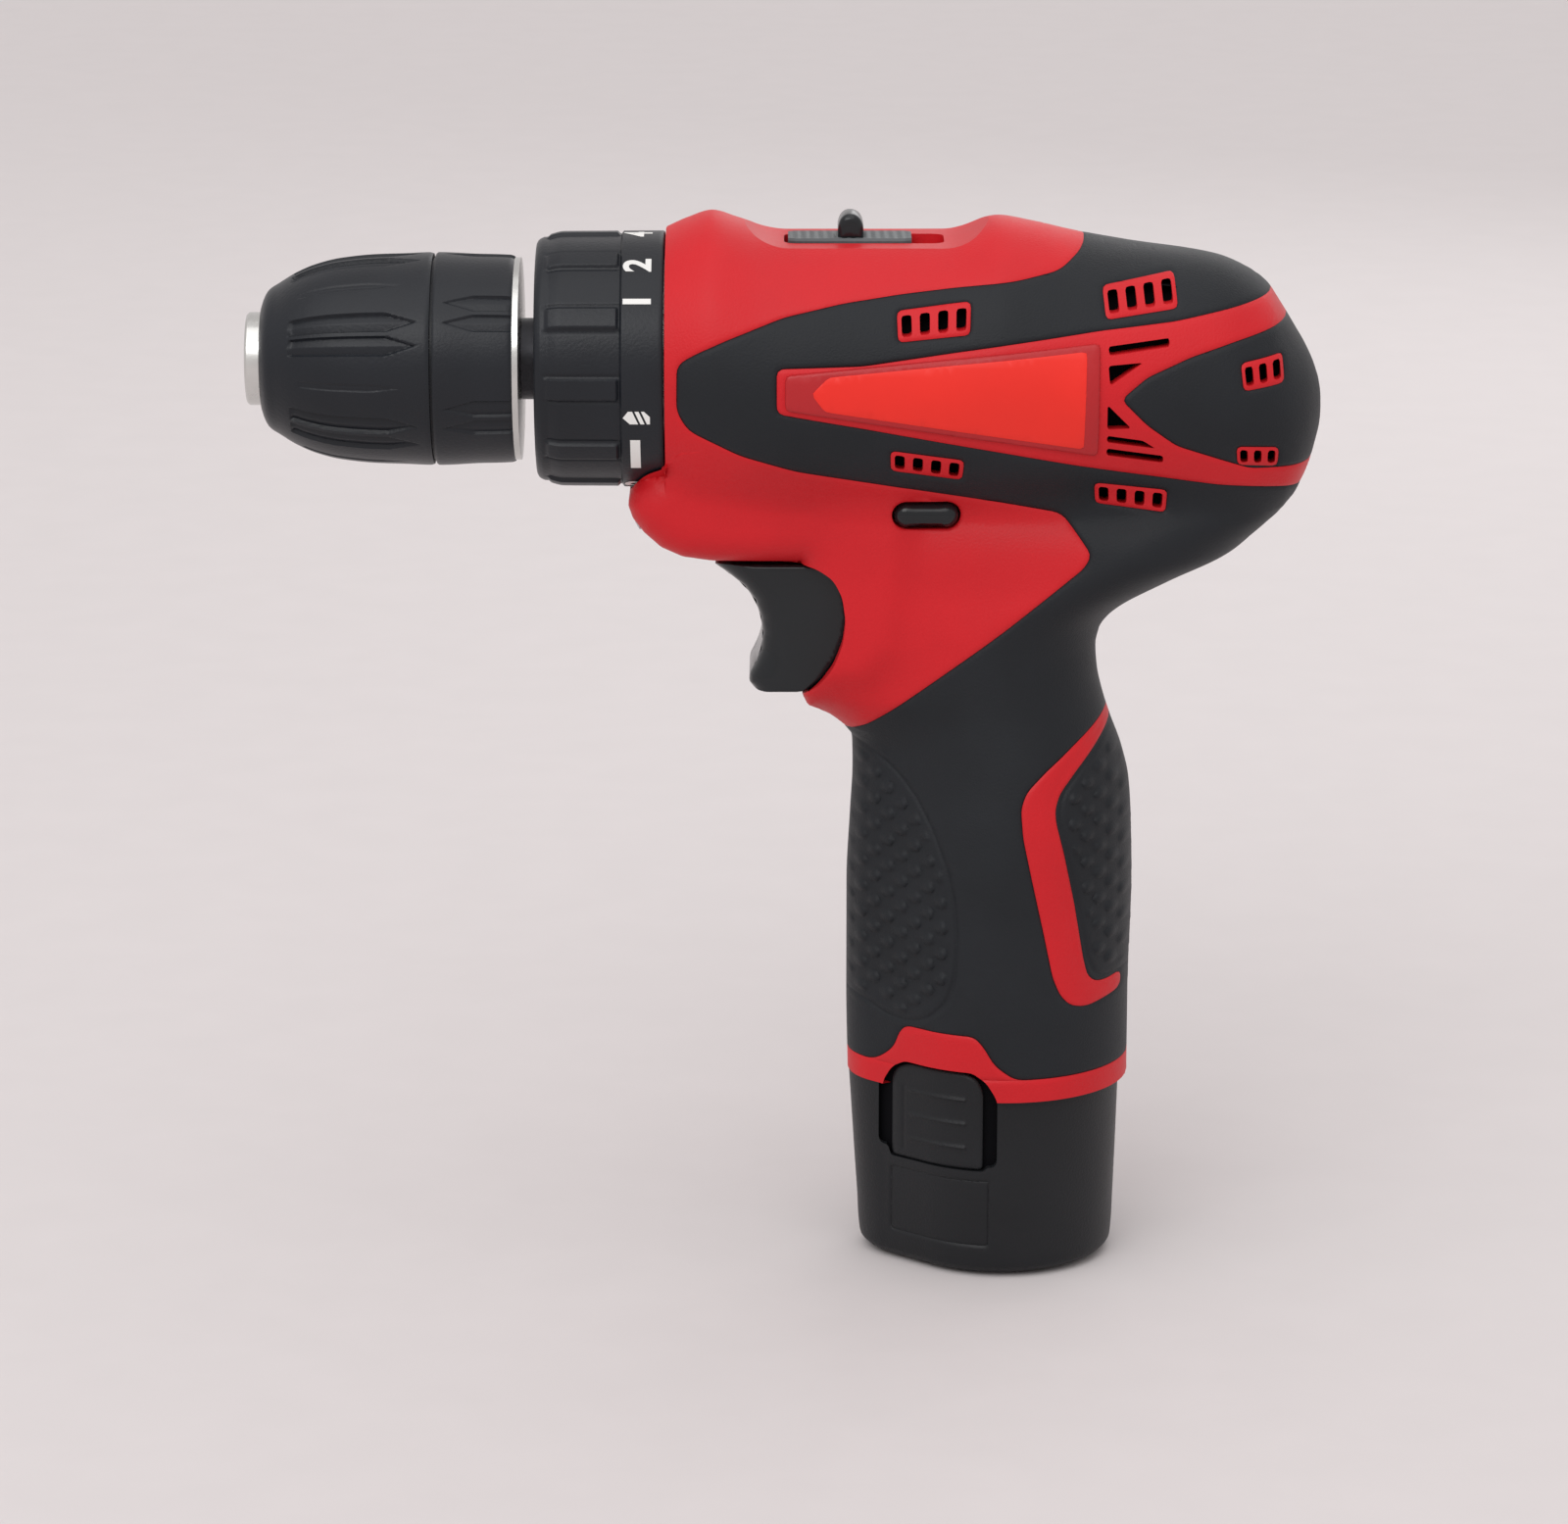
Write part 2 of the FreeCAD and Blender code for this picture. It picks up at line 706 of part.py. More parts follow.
# Barrel stations: x, top, bottom, half width.
BARREL = [
    ("housing_front", 22.7, -22.7, 22.9),
    (80.1, 25.6, -24.5, 24.9),
    (88.4, 23.6, -25.6, 25.5),
    (100.0, 23.0, -26.4, 26.0),
    (120.1, 23.0, -27.2, 26.0),
    (129.1, 24.8, -27.6, 26.2),
    (141.7, 22.2, -27.6, 25.8),
    (151.2, 20.4, -27.4, 25.0),
    (166.6, 18.0, -26.0, 23.0),
    (176.0, 13.2, -24.0, 20.5),
    (181.5, 5.6, -20.5, 16.0),
    ("housing_rear", -2.0, -14.0, 8.0),
]


def barrel_form(label, inset, first=0):
    """Ruled loft through upright ellipses, each shrunk by the inset."""
    rings = []
    for n, (x, top, bottom, half_width) in enumerate(BARREL):
        oval = doc.addObject("Part::Ellipse", f"{label}_ring_{n}")
        oval.MajorRadius = 100
        wide = f"{half_width} - ({inset})"
        high = f"({top} - ({bottom})) / 2 - ({inset})"
        oval.MinorRadius = value(high)
        oval.MajorRadius = max(value(wide), value(high) + 0.01)
        bind(oval, MajorRadius=f"max({wide}; {high} + 0.01)", MinorRadius=high)
        place_x = f"({x}) - ({inset})" if n == len(BARREL) - 1 else (f"({x}) - 2 * ({first})" if n == 0 else x)
        stand(oval, place_x, 0, f"({top} + {bottom}) / 2")
        oval.Placement.Rotation = Rotation(Vector(0, 1, 0), 90).multiply(Rotation(Vector(0, 0, 1), 90))
        rings.append(oval)
    loft = doc.addObject("Part::Loft", label)
    loft.Sections = rings
    loft.Solid = True
    loft.Ruled = True
    return loft


# Handle stations: z, front edge, rear edge, front corner radius, half width.
HANDLE = [
    ("handle_bottom", 103.5, 153.3, 12.0, 22.3),
    (-112.0, 103.4, 153.2, 12.0, 22.4),
    (-93.0, 103.4, 153.7, 12.0, 22.5),
    (-76.0, 104.2, 153.2, 12.0, 21.6),
    (-66.0, 103.8, 150.8, 11.5, 20.2),
    (-57.0, 95.8, 147.6, 11.0, 19.0),
    (-50.0, 96.0, 146.7, 11.0, 18.8),
    (-44.0, 97.0, 149.4, 11.0, 19.2),
    (-38.0, 97.0, 159.5, 11.5, 20.0),
    (-32.5, 96.0, 170.4, 12.0, 21.0),
    (-26.0, 94.0, 177.5, 12.5, 21.8),
    (-16.0, 94.0, 178.0, 12.5, 21.8),
]


def egg_wire(front, rear, front_radius, half_width):
    """Outline of a handle section: a small round front, a wide round rear, straight flanks."""
    lobe = 2.5
    rear_radius = half_width - lobe
    front_x = front + front_radius
    rear_x = rear - rear_radius
    span = math.hypot(rear_x - front_x, lobe)
    base = math.atan2(lobe, rear_x - front_x)
    open_angle = math.acos((front_radius - rear_radius) / span) if abs(front_radius - rear_radius) < span else 1.57
    normal = base + open_angle
    unit = Vector(math.cos(normal), math.sin(normal), 0)
    front_touch = Vector(front_x, 0, 0) + unit * front_radius
    rear_touch = Vector(rear_x, lobe, 0) + unit * rear_radius
    rear_point = Vector(rear, lobe, 0)

    def flip(point):
        return Vector(point.x, -point.y, point.z)

    middle = (normal) / 2
    arc_mid = Vector(rear_x, lobe, 0) + Vector(math.cos(middle), math.sin(middle), 0) * rear_radius
    front_tip = Vector(front, 0, 0)
    edges = [
        Part.Arc(flip(front_touch), front_tip, front_touch).toShape(),
        Part.LineSegment(front_touch, rear_touch).toShape(),
        Part.Arc(rear_touch, arc_mid, rear_point).toShape(),
        Part.LineSegment(rear_point, flip(rear_point)).toShape(),
        Part.Arc(flip(rear_point), flip(arc_mid), flip(rear_touch)).toShape(),
        Part.LineSegment(flip(rear_touch), flip(front_touch)).toShape(),
    ]
    return Part.Wire(edges)


def handle_form(label, inset):
    """Ruled loft through the handle sections, each shrunk by the inset."""
    sections = []
    for n, (z, front, rear, corner, half_width) in enumerate(HANDLE):
        shrink = value(inset)
        wire = egg_wire(front + shrink, rear - shrink, corner - shrink, half_width - shrink)
        section = shaped(f"{label}_section_{n}", wire, 0, 0, z)
        sections.append(section)
    loft = doc.addObject("Part::Loft", label)
    loft.Sections = sections
    loft.Solid = True
    loft.Ruled = True
    return loft


def chin_form(label, inset):
    """The chin that holds the work light, and the cheeks on both sides of the trigger."""
    grow = f"({inset})"
    return slab(label, [
        (f"65.4 + {grow}", -23.2),
        (f"66.4 + {grow}", -25.9),
        (f"68.3 + {grow}", f"-28.4 + {grow} * 0.6"),
        (f"71.2 + {grow} * 0.7", f"-31.0 + {grow}"),
        (f"75.0 + {grow} * 0.3", f"-32.8 + {grow}"),
        (80.0, f"-33.5 + {grow}"),
        (f"95.0 + {grow}", f"-33.5 + {grow}"),
        (f"95.4 + {grow}", f"-57.2 + {grow} * 0.2"),
        (f"96.5 + {grow}", f"-59.4 + {grow} * 0.4"),
        (f"99.2 + {grow} * 0.7", f"-61.0 + {grow} * 0.8"),
        (f"103.8 + {grow} * 0.4", f"-64.5 + {grow}"),
        (112.0, f"-62.0 + {grow}"),
        (122.0, f"-52.0 + {grow}"),
        (122.0, -15.0),
        ("housing_front", -15.0),
        ("housing_front", -23.2),
    ], f"-15.5 + {grow}", f"15.5 - {grow}")


outer_form = fuse("outer_form", barrel_form("outer_barrel", "0"), handle_form("outer_handle", "0"), chin_form("outer_chin", "0"))
seat_form = fuse(
    "seat_form", barrel_form("seat_barrel", "grip_depth"), handle_form("seat_handle", "grip_depth"),
    chin_form("seat_chin", "grip_depth"),
)
hollow_barrel = barrel_form("hollow_barrel", "wall", 1)
hollow_handle = handle_form("hollow_handle", "wall")
hollow_chin = slab("hollow_chin", [
    (69.4, -25.6),
    (71.8, -28.8),
    (75.2, -30.6),
    (80.0, "-33.5 + wall"),
    (98.0, "-33.5 + wall"),
    (98.0, -15.0),
    (74.5, -15.0),
    (74.5, -25.6),
], "-15.5 + wall", "15.5 - wall")
upper_hollow = fuse("upper_hollow", hollow_barrel, common(
    "hollow_neck", hollow_handle, block("above_socket", 80, 200, -40, 40, "stick_top + 4", 10)), hollow_chin)


def stick_wire(skin):
    """Outline round the three cells, one in front and two behind."""
    radius = value(f"cell_radius + {skin}")
    front = Vector(value("cell_front_x"), 0, 0)
    rear = Vector(value("cell_rear_x"), value("cell_spread"), 0)
    along = rear - front
    normal = Vector(-along.y, along.x, 0).normalize()
    a = front + normal * radius
    b = rear + normal * radius
    half = (normal + Vector(1, 0, 0)).normalize()
    c = rear + half * radius
    d = rear + Vector(radius, 0, 0)

    def flip(point):
        return Vector(point.x, -point.y, 0)

    edges = [
        Part.Arc(flip(a), front - Vector(radius, 0, 0), a).toShape(),
        Part.LineSegment(a, b).toShape(),
        Part.Arc(b, c, d).toShape(),
        Part.LineSegment(d, flip(d)).toShape(),
        Part.Arc(flip(d), flip(c), flip(b)).toShape(),
        Part.LineSegment(flip(b), flip(a)).toShape(),
    ]
    return Part.Wire(edges)


def stick_prism(label, skin, bottom, top):
    """A straight column round the cells."""
    low = value(bottom)
    solid = Part.Face(stick_wire(skin)).extrude(Vector(0, 0, value(top) - low))
    return shaped(label, solid, 0, 0, bottom)


socket = stick_prism("socket", "stick_skin + socket_gap", "handle_bottom - 5", "stick_top + socket_gap + 0.6")

# ---------------------------------------------------------------- trigger

TRIGGER_FRONT = [
    (79.6, -34.0),
    (82.7, -36.0),
    (85.5, -38.2),
    (87.4, -40.7),
    (88.5, -43.9),
    (88.8, -46.7),
    (88.5, -49.5),
    (87.4, -52.1),
    (86.5, -53.9),
    (86.4, -55.4),
    (87.2, -56.4),
]
trigger_blank = slab(
    "trigger_blank",
    TRIGGER_FRONT + [(100.8, -56.4), (103.6, -52.0), (103.6, -40.0), (100.8, -34.0)],
    "-trigger_half_width", "trigger_half_width",
)
trigger_stem = rod("trigger_stem", "X", 100, "112 + trigger_travel", 2.4, 0, -46)
trigger = fuse("trigger", trigger_blank, trigger_stem)

# Room for the trigger: a mouth through the shell and a deeper pocket between its walls.
trigger_mouth = slab("trigger_mouth", [
    (70.0, -33.8),
    (70.0, -56.9),
    (96.6, -56.9),
    (99.6, -53.8),
    (101.9, -49.8),
    (103.2, -45.5),
    (103.6, -41.9),
    (103.2, -38.0),
    (101.6, -35.2),
    (98.6, -33.8),
], -30, 30)
trigger_pocket = block(
    "trigger_pocket", 85, "104.2 + trigger_travel", "-trigger_half_width - gap", "trigger_half_width + gap", -56.9, -33.6)

# ---------------------------------------------------------------- housing halves

selector_slot = block("selector_slot", "slot_front", "slot_rear", -5, 5, 10, 30)
saddle = slab("saddle", [(84.5, 24.5), (90.5, 21.2), (121.5, 21.2), (126.5, 24.5), (126.5, 32), (84.5, 32)], -12, 12)


def pill(label, length, height, near, far):
    """A bar through the handle with round ends: length along X, height along Z."""
    flat = f"(({length}) - ({height})) / 2"
    middle = block(
        label + "_bar", f"button_x - {flat}", f"button_x + {flat}", near, far,
        f"button_z - ({height}) / 2", f"button_z + ({height}) / 2")
    ends = [
        rod(label + "_front_end", "Y", near, far, f"({height}) / 2", f"button_x - {flat}", "button_z"),
        rod(label + "_rear_end", "Y", near, far, f"({height}) / 2", f"button_x + {flat}", "button_z"),
    ]
    return fuse(label, middle, *ends)


direction_button = pill("direction_button", "button_length", "button_height", "-button_reach", "button_reach")
button_hole = pill("button_hole", "button_length + 2 * gap", "button_height + 2 * gap", -30, 30)

# Vent frames: front x, rear x, front top, rear top, front bottom, rear bottom, slots.
VENTS = [
    (111.4, 123.9, 12.1, 13.6, 7.5, 8.4, 4),
    (146.2, 158.7, 15.4, 17.1, 10.5, 11.9, 4),
    (110.5, 122.8, -11.2, -13.0, -14.3, -16.1, 4),
    (145.2, 157.5, -17.2, -18.8, -20.6, -22.2, 4),
    (169.8, 177.1, 2.9, 3.9, -1.3, -0.5, 3),
    (169.2, 176.4, -11.1, -11.7, -14.3, -15.0, 3),
]


def vent_slots():
    slots = []
    for n, (front, rear, top_a, top_b, low_a, low_b, count) in enumerate(VENTS):
        pitch = (rear - front) / count
        for k in range(count):
            share = (k + 0.5) / count
            middle = front + (rear - front) * share
            top = top_a + (top_b - top_a) * share - 0.8
            low = low_a + (low_b - low_a) * share + 0.8
            half = pitch * 0.32
            slots.append(block(f"vent_{n}_{k}", middle - half, middle + half, -40, -8, low, top))
    return slots


battery_latch_mouth = [
    block("left_latch_mouth", 110.7, 127.9, -30, -7.7, "handle_bottom - 3", "handle_bottom + 4.8"),
    block("right_latch_mouth", 110.7, 127.9, 7.7, 30, "handle_bottom - 3", "handle_bottom + 4.8"),
]

SCREWS = [(77.0, -27.6), (140.5, -34.5), (113.0, -70.5), (142.5, -69.5), (171.0, 8.5), (172.5, -16.5), (92.5, -29.8)]


def at_screws(name, near, far, radius, spots=SCREWS):
    return [rod(f"{name}_{n}", "Y", near, far, radius, x, z) for n, (x, z) in enumerate(spots, 1)]


# Screw posts grow from each half and meet on the middle plane: the hollow leaves them standing.
roof = block("roof", 84.5, 127, -13, 13, 20.1, 40)
room = cut("room", upper_hollow, roof, *at_screws("post", -40, 40, "screw_radius + 1.8"))
shell = cut("shell", outer_form, room)

# Black grip: a band round the barrel, the rear and the handle, with a red V left open in it.
BAND = [
    (74.6, 3.4), (77.6, 5.1), (87.5, 9.4), (97.3, 12.4), (112.1, 14.6), (131.8, 16.6), (141.6, 19.1),
    (144.7, 22.8), (145.2, 32.0), (190.0, 32.0), (190.0, -60.0), (160.0, -123.4), (98.0, -123.4),
    (98.0, -64.8), (102.8, -64.6), (109.3, -58.0), (123.7, -46.0), (138.0, -35.6), (144.1, -29.8),
    (141.2, -25.9), (136.1, -22.6), (128.5, -21.0), (107.7, -17.3), (88.7, -13.6), (76.2, -8.1), (74.4, -4.7),
]
RED_V = [
    (91.5, 2.7), (105.6, 3.0), (130.8, 6.8), (145.6, 8.7), (158.4, 9.6), (171.0, 11.6), (190.0, 14.0),
    (190.0, -19.6), (177.7, -18.4), (166.5, -17.4), (156.3, -15.6), (141.1, -13.0), (105.6, -6.8), (91.5, -4.5),
]
REAR_PAD = [
    (149.1, -2.1), (153.6, 1.2), (161.1, 4.3), (168.6, 6.4), (176.2, 7.9), (190.0, 10.5),
    (190.0, -14.9), (171.6, -14.5), (158.8, -10.1), (153.7, -6.5),
]
grip_zone = fuse(
    "grip_zone",
    cut("band_zone", slab("band_slab", BAND, -40, 0), slab("red_v_slab", RED_V, -41, 1)),
    slab("rear_pad_slab", REAR_PAD, -40, 0),
)
grip_skin = cut("grip_skin", outer_form, seat_form)
left_grip_blank = common("left_grip_blank", grip_skin, grip_zone)
# Under the saddle the selector's flange slides between the shell and the gear case.
selector_room = block(
    "selector_room", "selector_front + 0.8", "selector_rear + shift_travel + 0.9", "-selector_half_width - 1.9",
    "selector_half_width + 1.9", "case_radius - 1", 20.1)
openings = [
    trigger_mouth, trigger_pocket, selector_slot, selector_room, button_hole, *vent_slots(), *battery_latch_mouth]
left_grip = cut("left_grip", left_grip_blank, *openings)
right_grip = cut(
    "right_grip", mirrored("right_grip_blank", left_grip), *at_screws("grip_hole", 9, 30, "screw_head_radius + gap"))

left_space = block("left_space", 50, 200, -40, 0, -180, 40)
light_seat = rod("light_seat", "X", 60, 69.5, 2.9, 0, -27.4)
mouth = rod("collar_mouth", "X", 60, 76, "case_radius + gap")
contact_pocket = block("contact_pocket", 115.8, 132.2, -10.2, 10.2, "stick_top + 0.9", "stick_top + 4.1")
left_solid = common("left_solid", shell, left_space)
left_blank = cut(
    "left_blank", left_solid, left_grip_blank, socket, mouth, saddle, light_seat, contact_pocket, *openings)
left_housing = cut("left_housing", left_blank, *at_screws("pilot", -7.5, 1, "screw_radius + running"))
right_housing = cut(
    "right_housing", mirrored("right_blank", left_blank),
    *at_screws("clearance_hole", -1, 30, "screw_radius + running"),
    *at_screws("head_seat", 9, 30, "screw_head_radius + gap"),
)

# ---------------------------------------------------------------- pieces on the housing

badge_outline = [(92.5, 2.1), (145.7, 7.3), (145.5, -12.6), (92.5, -4.3)]
badge_top = common(
    "badge_top", slab("badge_slab", badge_outline, -40, 0),
    cut("badge_layer", barrel_form("badge_outer", "-0.9"), barrel_form("badge_inner", "0")),
)
left_badge = badge_top
left_badge.Label = "left_badge"
right_badge = mirrored("right_badge", left_badge)

led_lens = turned("led_lens_turned", [(66.4, 0), (66.6, 1.4), (67.3, 2.6), (69.3, 2.6), (69.3, 0)])
stand(led_lens, 0, 0, -27.4)
led_lens.Label = "led_lens"


def screw(n, x, z):
    head = rod(f"screw_head_{n}", "Y", 9.0, 11.2, "screw_head_radius", x, z)
    shank = rod(f"screw_shank_{n}", "Y", -7.0, 9.0, "screw_radius", x, z)
    drive = block(f"screw_drive_{n}", x - 0.4, x + 0.4, 10.2, 12, z - 1.8, z + 1.8)
    cross = block(f"screw_cross_{n}", x - 1.8, x + 1.8, 10.2, 12, z - 0.4, z + 0.4)
    return cut(f"screw_{n}", fuse(f"screw_blank_{n}", head, shank), drive, cross)


housing_screws = group("housing_screws", *[screw(n, x, z) for n, (x, z) in enumerate(SCREWS, 1)])

# ---------------------------------------------------------------- controls

selector_plate = block(
    "selector_plate", "selector_front", "selector_rear", "-selector_half_width", "selector_half_width", 19.8, 21.6)
selector_knob = slab(
    "selector_knob", [(101.6, 21.0), (101.9, 24.6), (103.0, 25.7), (104.6, 25.7), (105.7, 24.6), (106.0, 21.0)],
    -3.6, 3.6)
selector_flange = block(
    "selector_flange", "selector_front + 1.1", "selector_rear + 0.6", "-selector_half_width - 1.6",
    "selector_half_width + 1.6", 19.2, 19.8)
speed_selector = fuse("speed_selector", selector_plate, selector_knob, selector_flange)
fork_bridge = block("fork_bridge", 89.0, 90.4, -7.2, 7.2, 19.2, 19.8)
fork_legs = [
    block("fork_leg_right", 89.0, 90.4, 5.4, 7.2, 15.5, 19.8),
    block("fork_leg_left", 89.0, 90.4, -7.2, -5.4, 15.5, 19.8),
]
fork_arm = block("fork_arm", 89.0, "selector_front + 1", -2.5, 2.5, 19.2, 19.8)
shift_fork = fuse("shift_fork", fork_bridge, fork_arm, *fork_legs)

switch_blank = block("switch_blank", "105 + trigger_travel", 131, -9, 9, -58, -35.6)
switch_body = cut("switch_body", switch_blank, rod("stem_bore", "X", 100, 126, 2.7, 0, -46))
trigger_spring = stand(spring("trigger_spring", 3.6, 0.45, 2.0, 6.0), 104.3, 0, -46, (0, 1, 0), 90)

# ---------------------------------------------------------------- battery

# Battery case sections: z, front, rear, front corner radius, half width.
CASE = [
    ("battery_bottom", 107.0, 149.4, 9.8, 18.9),
    ("battery_bottom + 2", 106.0, 150.5, 10.2, 19.7),
    ("battery_top", 103.9, 151.6, 11.2, 21.0),
]


def case_form(label, inset, stations):
    sections = []
    for n, (z, front, rear, corner, half_width) in enumerate(stations):
        wire = egg_wire(front + inset, rear - inset, corner - inset, half_width - inset)
        sections.append(shaped(f"{label}_section_{n}", wire, 0, 0, z))
    loft = doc.addObject("Part::Loft", label)
    loft.Sections = sections
    loft.Solid = True
    loft.Ruled = True
    return loft


case_outer = case_form("case_outer", 0, CASE)
stick = stick_prism("stick", "stick_skin", "battery_top - 2", "stick_top")
cell_room = stick_prism("cell_room", "0.2", "battery_bottom + 1.8", "stick_top + 1")
board_room = block("board_room", 141.4, 147.4, -12, 12, "battery_bottom + 6", "battery_top - 2.4")


# Each latch is a strip of the case's own skin, so it follows the slanted flank.
FLANK = [
    ("battery_bottom", 106.0, 150.5, 10.2, 19.7),
    ("handle_bottom + 6", 103.6, 151.8, 11.4, 21.2),
]
latch_shell = cut("latch_shell", case_form("latch_outer", 0.1, FLANK), case_form("latch_inner", 1.35, FLANK))
latch_room_shell = cut("latch_room_shell", case_form("room_outer", -2, FLANK), case_form("room_inner", 2.3, FLANK))
left_tab = slab("left_tab", [(111.3, -140.6), (127.3, -140.6), (127.3, -123.0), (111.3, -123.0)], -30, -8)
left_tab_room = slab("left_tab_room", [(110.7, -141.2), (127.9, -141.2), (127.9, -120.0), (110.7, -120.0)], -30, -7.7)
left_latch = common("left_latch", latch_shell, left_tab)
right_latch = mirrored("right_latch", left_latch)
left_latch_room = common("left_latch_room", latch_room_shell, left_tab_room)
right_latch_room = mirrored("right_latch_room", left_latch_room)
battery_case = cut(
    "battery_case", fuse("case_and_stick", case_outer, stick), cell_room, board_room, left_latch_room, right_latch_room)
cell_bottom = "battery_bottom + 2.2"
CELLS = [("cell_front_x", 0), ("cell_rear_x", "cell_spread"), ("cell_rear_x", "-cell_spread")]
battery_cells = group("battery_cells", *[
    rod(f"cell_{n}", "Z", cell_bottom, f"{cell_bottom} + cell_length", "cell_radius", x, y)
    for n, (x, y) in enumerate(CELLS, 1)
])
battery_board = block("battery_board", 143.0, 144.6, -11, 11, "battery_bottom + 7", "battery_top - 3.4")
battery_cap = cut(
    "battery_cap", stick_prism("cap_blank", "stick_skin - 1.0", "stick_top - 2.6", "stick_top + 0.5"),
    *[block(f"contact_slot_{n}", 118, 130, y - 0.6, y + 0.6, "stick_top - 4", "stick_top + 3")
      for n, y in enumerate((-7, 0, 7))])
contact_block = block("contact_block_blank", 116, 132, -10, 10, "stick_top + 1.1", "stick_top + 3.9")
tool_contacts = fuse(
    "tool_contacts", contact_block,
    *[block(f"contact_blade_{n}", 119, 129, y - 0.3, y + 0.3, "stick_top - 2.0", "stick_top + 2")
      for n, y in enumerate((-7, 0, 7))])

# ---------------------------------------------------------------- check and write

PIECES = [
    chuck_body, rear_sleeve, front_sleeve, chuck_nut, thrust_ball_set, chuck_screw, *jaws,
    spindle, spindle_bearings, gear_case, gearbox_rear_plate, first_ring_gear, clutch_ring_gear, shift_ring,
    first_carrier, second_carrier, second_planet_set, *first_planets, *third_planets,
    clutch_collar, clutch_nut, clutch_spring, clutch_washer, clutch_ball_set,
    motor_can, motor_magnets, motor_end_bell, motor_bushes, rotor_shaft, motor_pinion, armature, commutator,
    carbon_brushes, left_housing, right_housing, left_grip, right_grip, left_badge, right_badge, led_lens,
    housing_screws, speed_selector, shift_fork, direction_button, trigger, trigger_spring, switch_body,
    battery_case, battery_cells, battery_board, battery_cap, left_latch, right_latch, tool_contacts,
]

doc.recompute()
for item in doc.Objects:
    if "Invalid" in item.State or "Error" in item.State:
        raise RuntimeError(f"{item.Label} did not rebuild")
for item in PIECES:
    if item.Shape.isNull() or not item.Shape.isValid() or not item.Shape.Solids:
        raise RuntimeError(f"{item.Label} is not a valid solid")

os.makedirs("parts", exist_ok=True)
for item in PIECES:
    item.Shape.exportStep(f"parts/{item.Label}.step")
print(f"{len(PIECES)} pieces written")
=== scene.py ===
# %% [markdown]
# A cordless drill, built around its finished mechanical model.
# The mechanical model holds every gear, shaft and screw at its true place. This lesson gives the drill its
# looks: the moulded shells, the soft grip, the ribbed chuck and collar, and the finish of every surface.
# Nothing mechanical is moved; new skins are laid over it and ride on the same bodies.

# %% Load the mechanical model
import json
import math

import bmesh
import bpy
import numpy as np
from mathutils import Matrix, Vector
from mathutils.geometry import delaunay_2d_cdt


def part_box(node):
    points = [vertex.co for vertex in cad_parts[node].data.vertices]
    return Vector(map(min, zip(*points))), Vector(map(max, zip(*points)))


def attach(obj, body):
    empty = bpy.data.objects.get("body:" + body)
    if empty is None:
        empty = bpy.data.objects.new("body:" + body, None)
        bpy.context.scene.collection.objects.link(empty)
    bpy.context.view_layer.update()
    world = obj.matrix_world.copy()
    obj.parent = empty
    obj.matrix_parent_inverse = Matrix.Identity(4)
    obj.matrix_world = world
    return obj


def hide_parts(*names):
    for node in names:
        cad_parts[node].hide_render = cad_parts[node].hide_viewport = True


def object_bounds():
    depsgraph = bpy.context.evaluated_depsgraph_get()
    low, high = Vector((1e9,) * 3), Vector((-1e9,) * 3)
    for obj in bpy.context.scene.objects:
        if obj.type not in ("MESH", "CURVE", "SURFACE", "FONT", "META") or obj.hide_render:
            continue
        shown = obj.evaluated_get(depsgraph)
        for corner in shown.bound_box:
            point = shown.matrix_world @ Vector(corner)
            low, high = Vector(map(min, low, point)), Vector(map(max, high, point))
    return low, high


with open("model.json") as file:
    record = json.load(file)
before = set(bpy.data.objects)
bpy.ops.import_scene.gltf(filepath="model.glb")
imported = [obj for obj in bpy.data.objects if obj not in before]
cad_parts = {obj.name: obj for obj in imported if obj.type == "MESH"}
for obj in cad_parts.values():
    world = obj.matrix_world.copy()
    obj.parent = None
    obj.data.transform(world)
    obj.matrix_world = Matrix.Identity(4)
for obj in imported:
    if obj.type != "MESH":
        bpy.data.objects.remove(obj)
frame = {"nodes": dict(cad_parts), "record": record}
cad_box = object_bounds()
MM = 0.001

# %% [markdown]
# The camera comes first, so every later piece can be judged in the frame it will be seen in.
# It stands on the drill's left, about a metre away and a little above, with a long lens that keeps the
# barrel's lines nearly parallel, the way a catalogue picture is taken.

# %% Camera
VIEW_DOWN = math.radians(14.5)
VIEW_DISTANCE = 1.05
AIM = Vector((0.0924, 0.0, -0.0718))
camera_data = bpy.data.cameras.new("camera")
camera_data.sensor_width = 36
camera_data.lens = 137.5
camera_data.clip_start = 0.05
camera = bpy.data.objects.new("camera", camera_data)
bpy.context.scene.collection.objects.link(camera)
camera.location = AIM + VIEW_DISTANCE * Vector((0, -math.cos(VIEW_DOWN), math.sin(VIEW_DOWN)))
camera.rotation_euler = (math.radians(90) - VIEW_DOWN, 0, 0)
bpy.context.scene.camera = camera
print("camera at", [round(v, 3) for v in camera.location])

# %% [markdown]
# Finishes. Each is one small node tree on a Principled shader: a base colour broken up by soft noise, a
# fine bump for the moulded grain, and a roughness that wanders a little. Constant numbers sit on the
# shader itself.

# %% Material helper


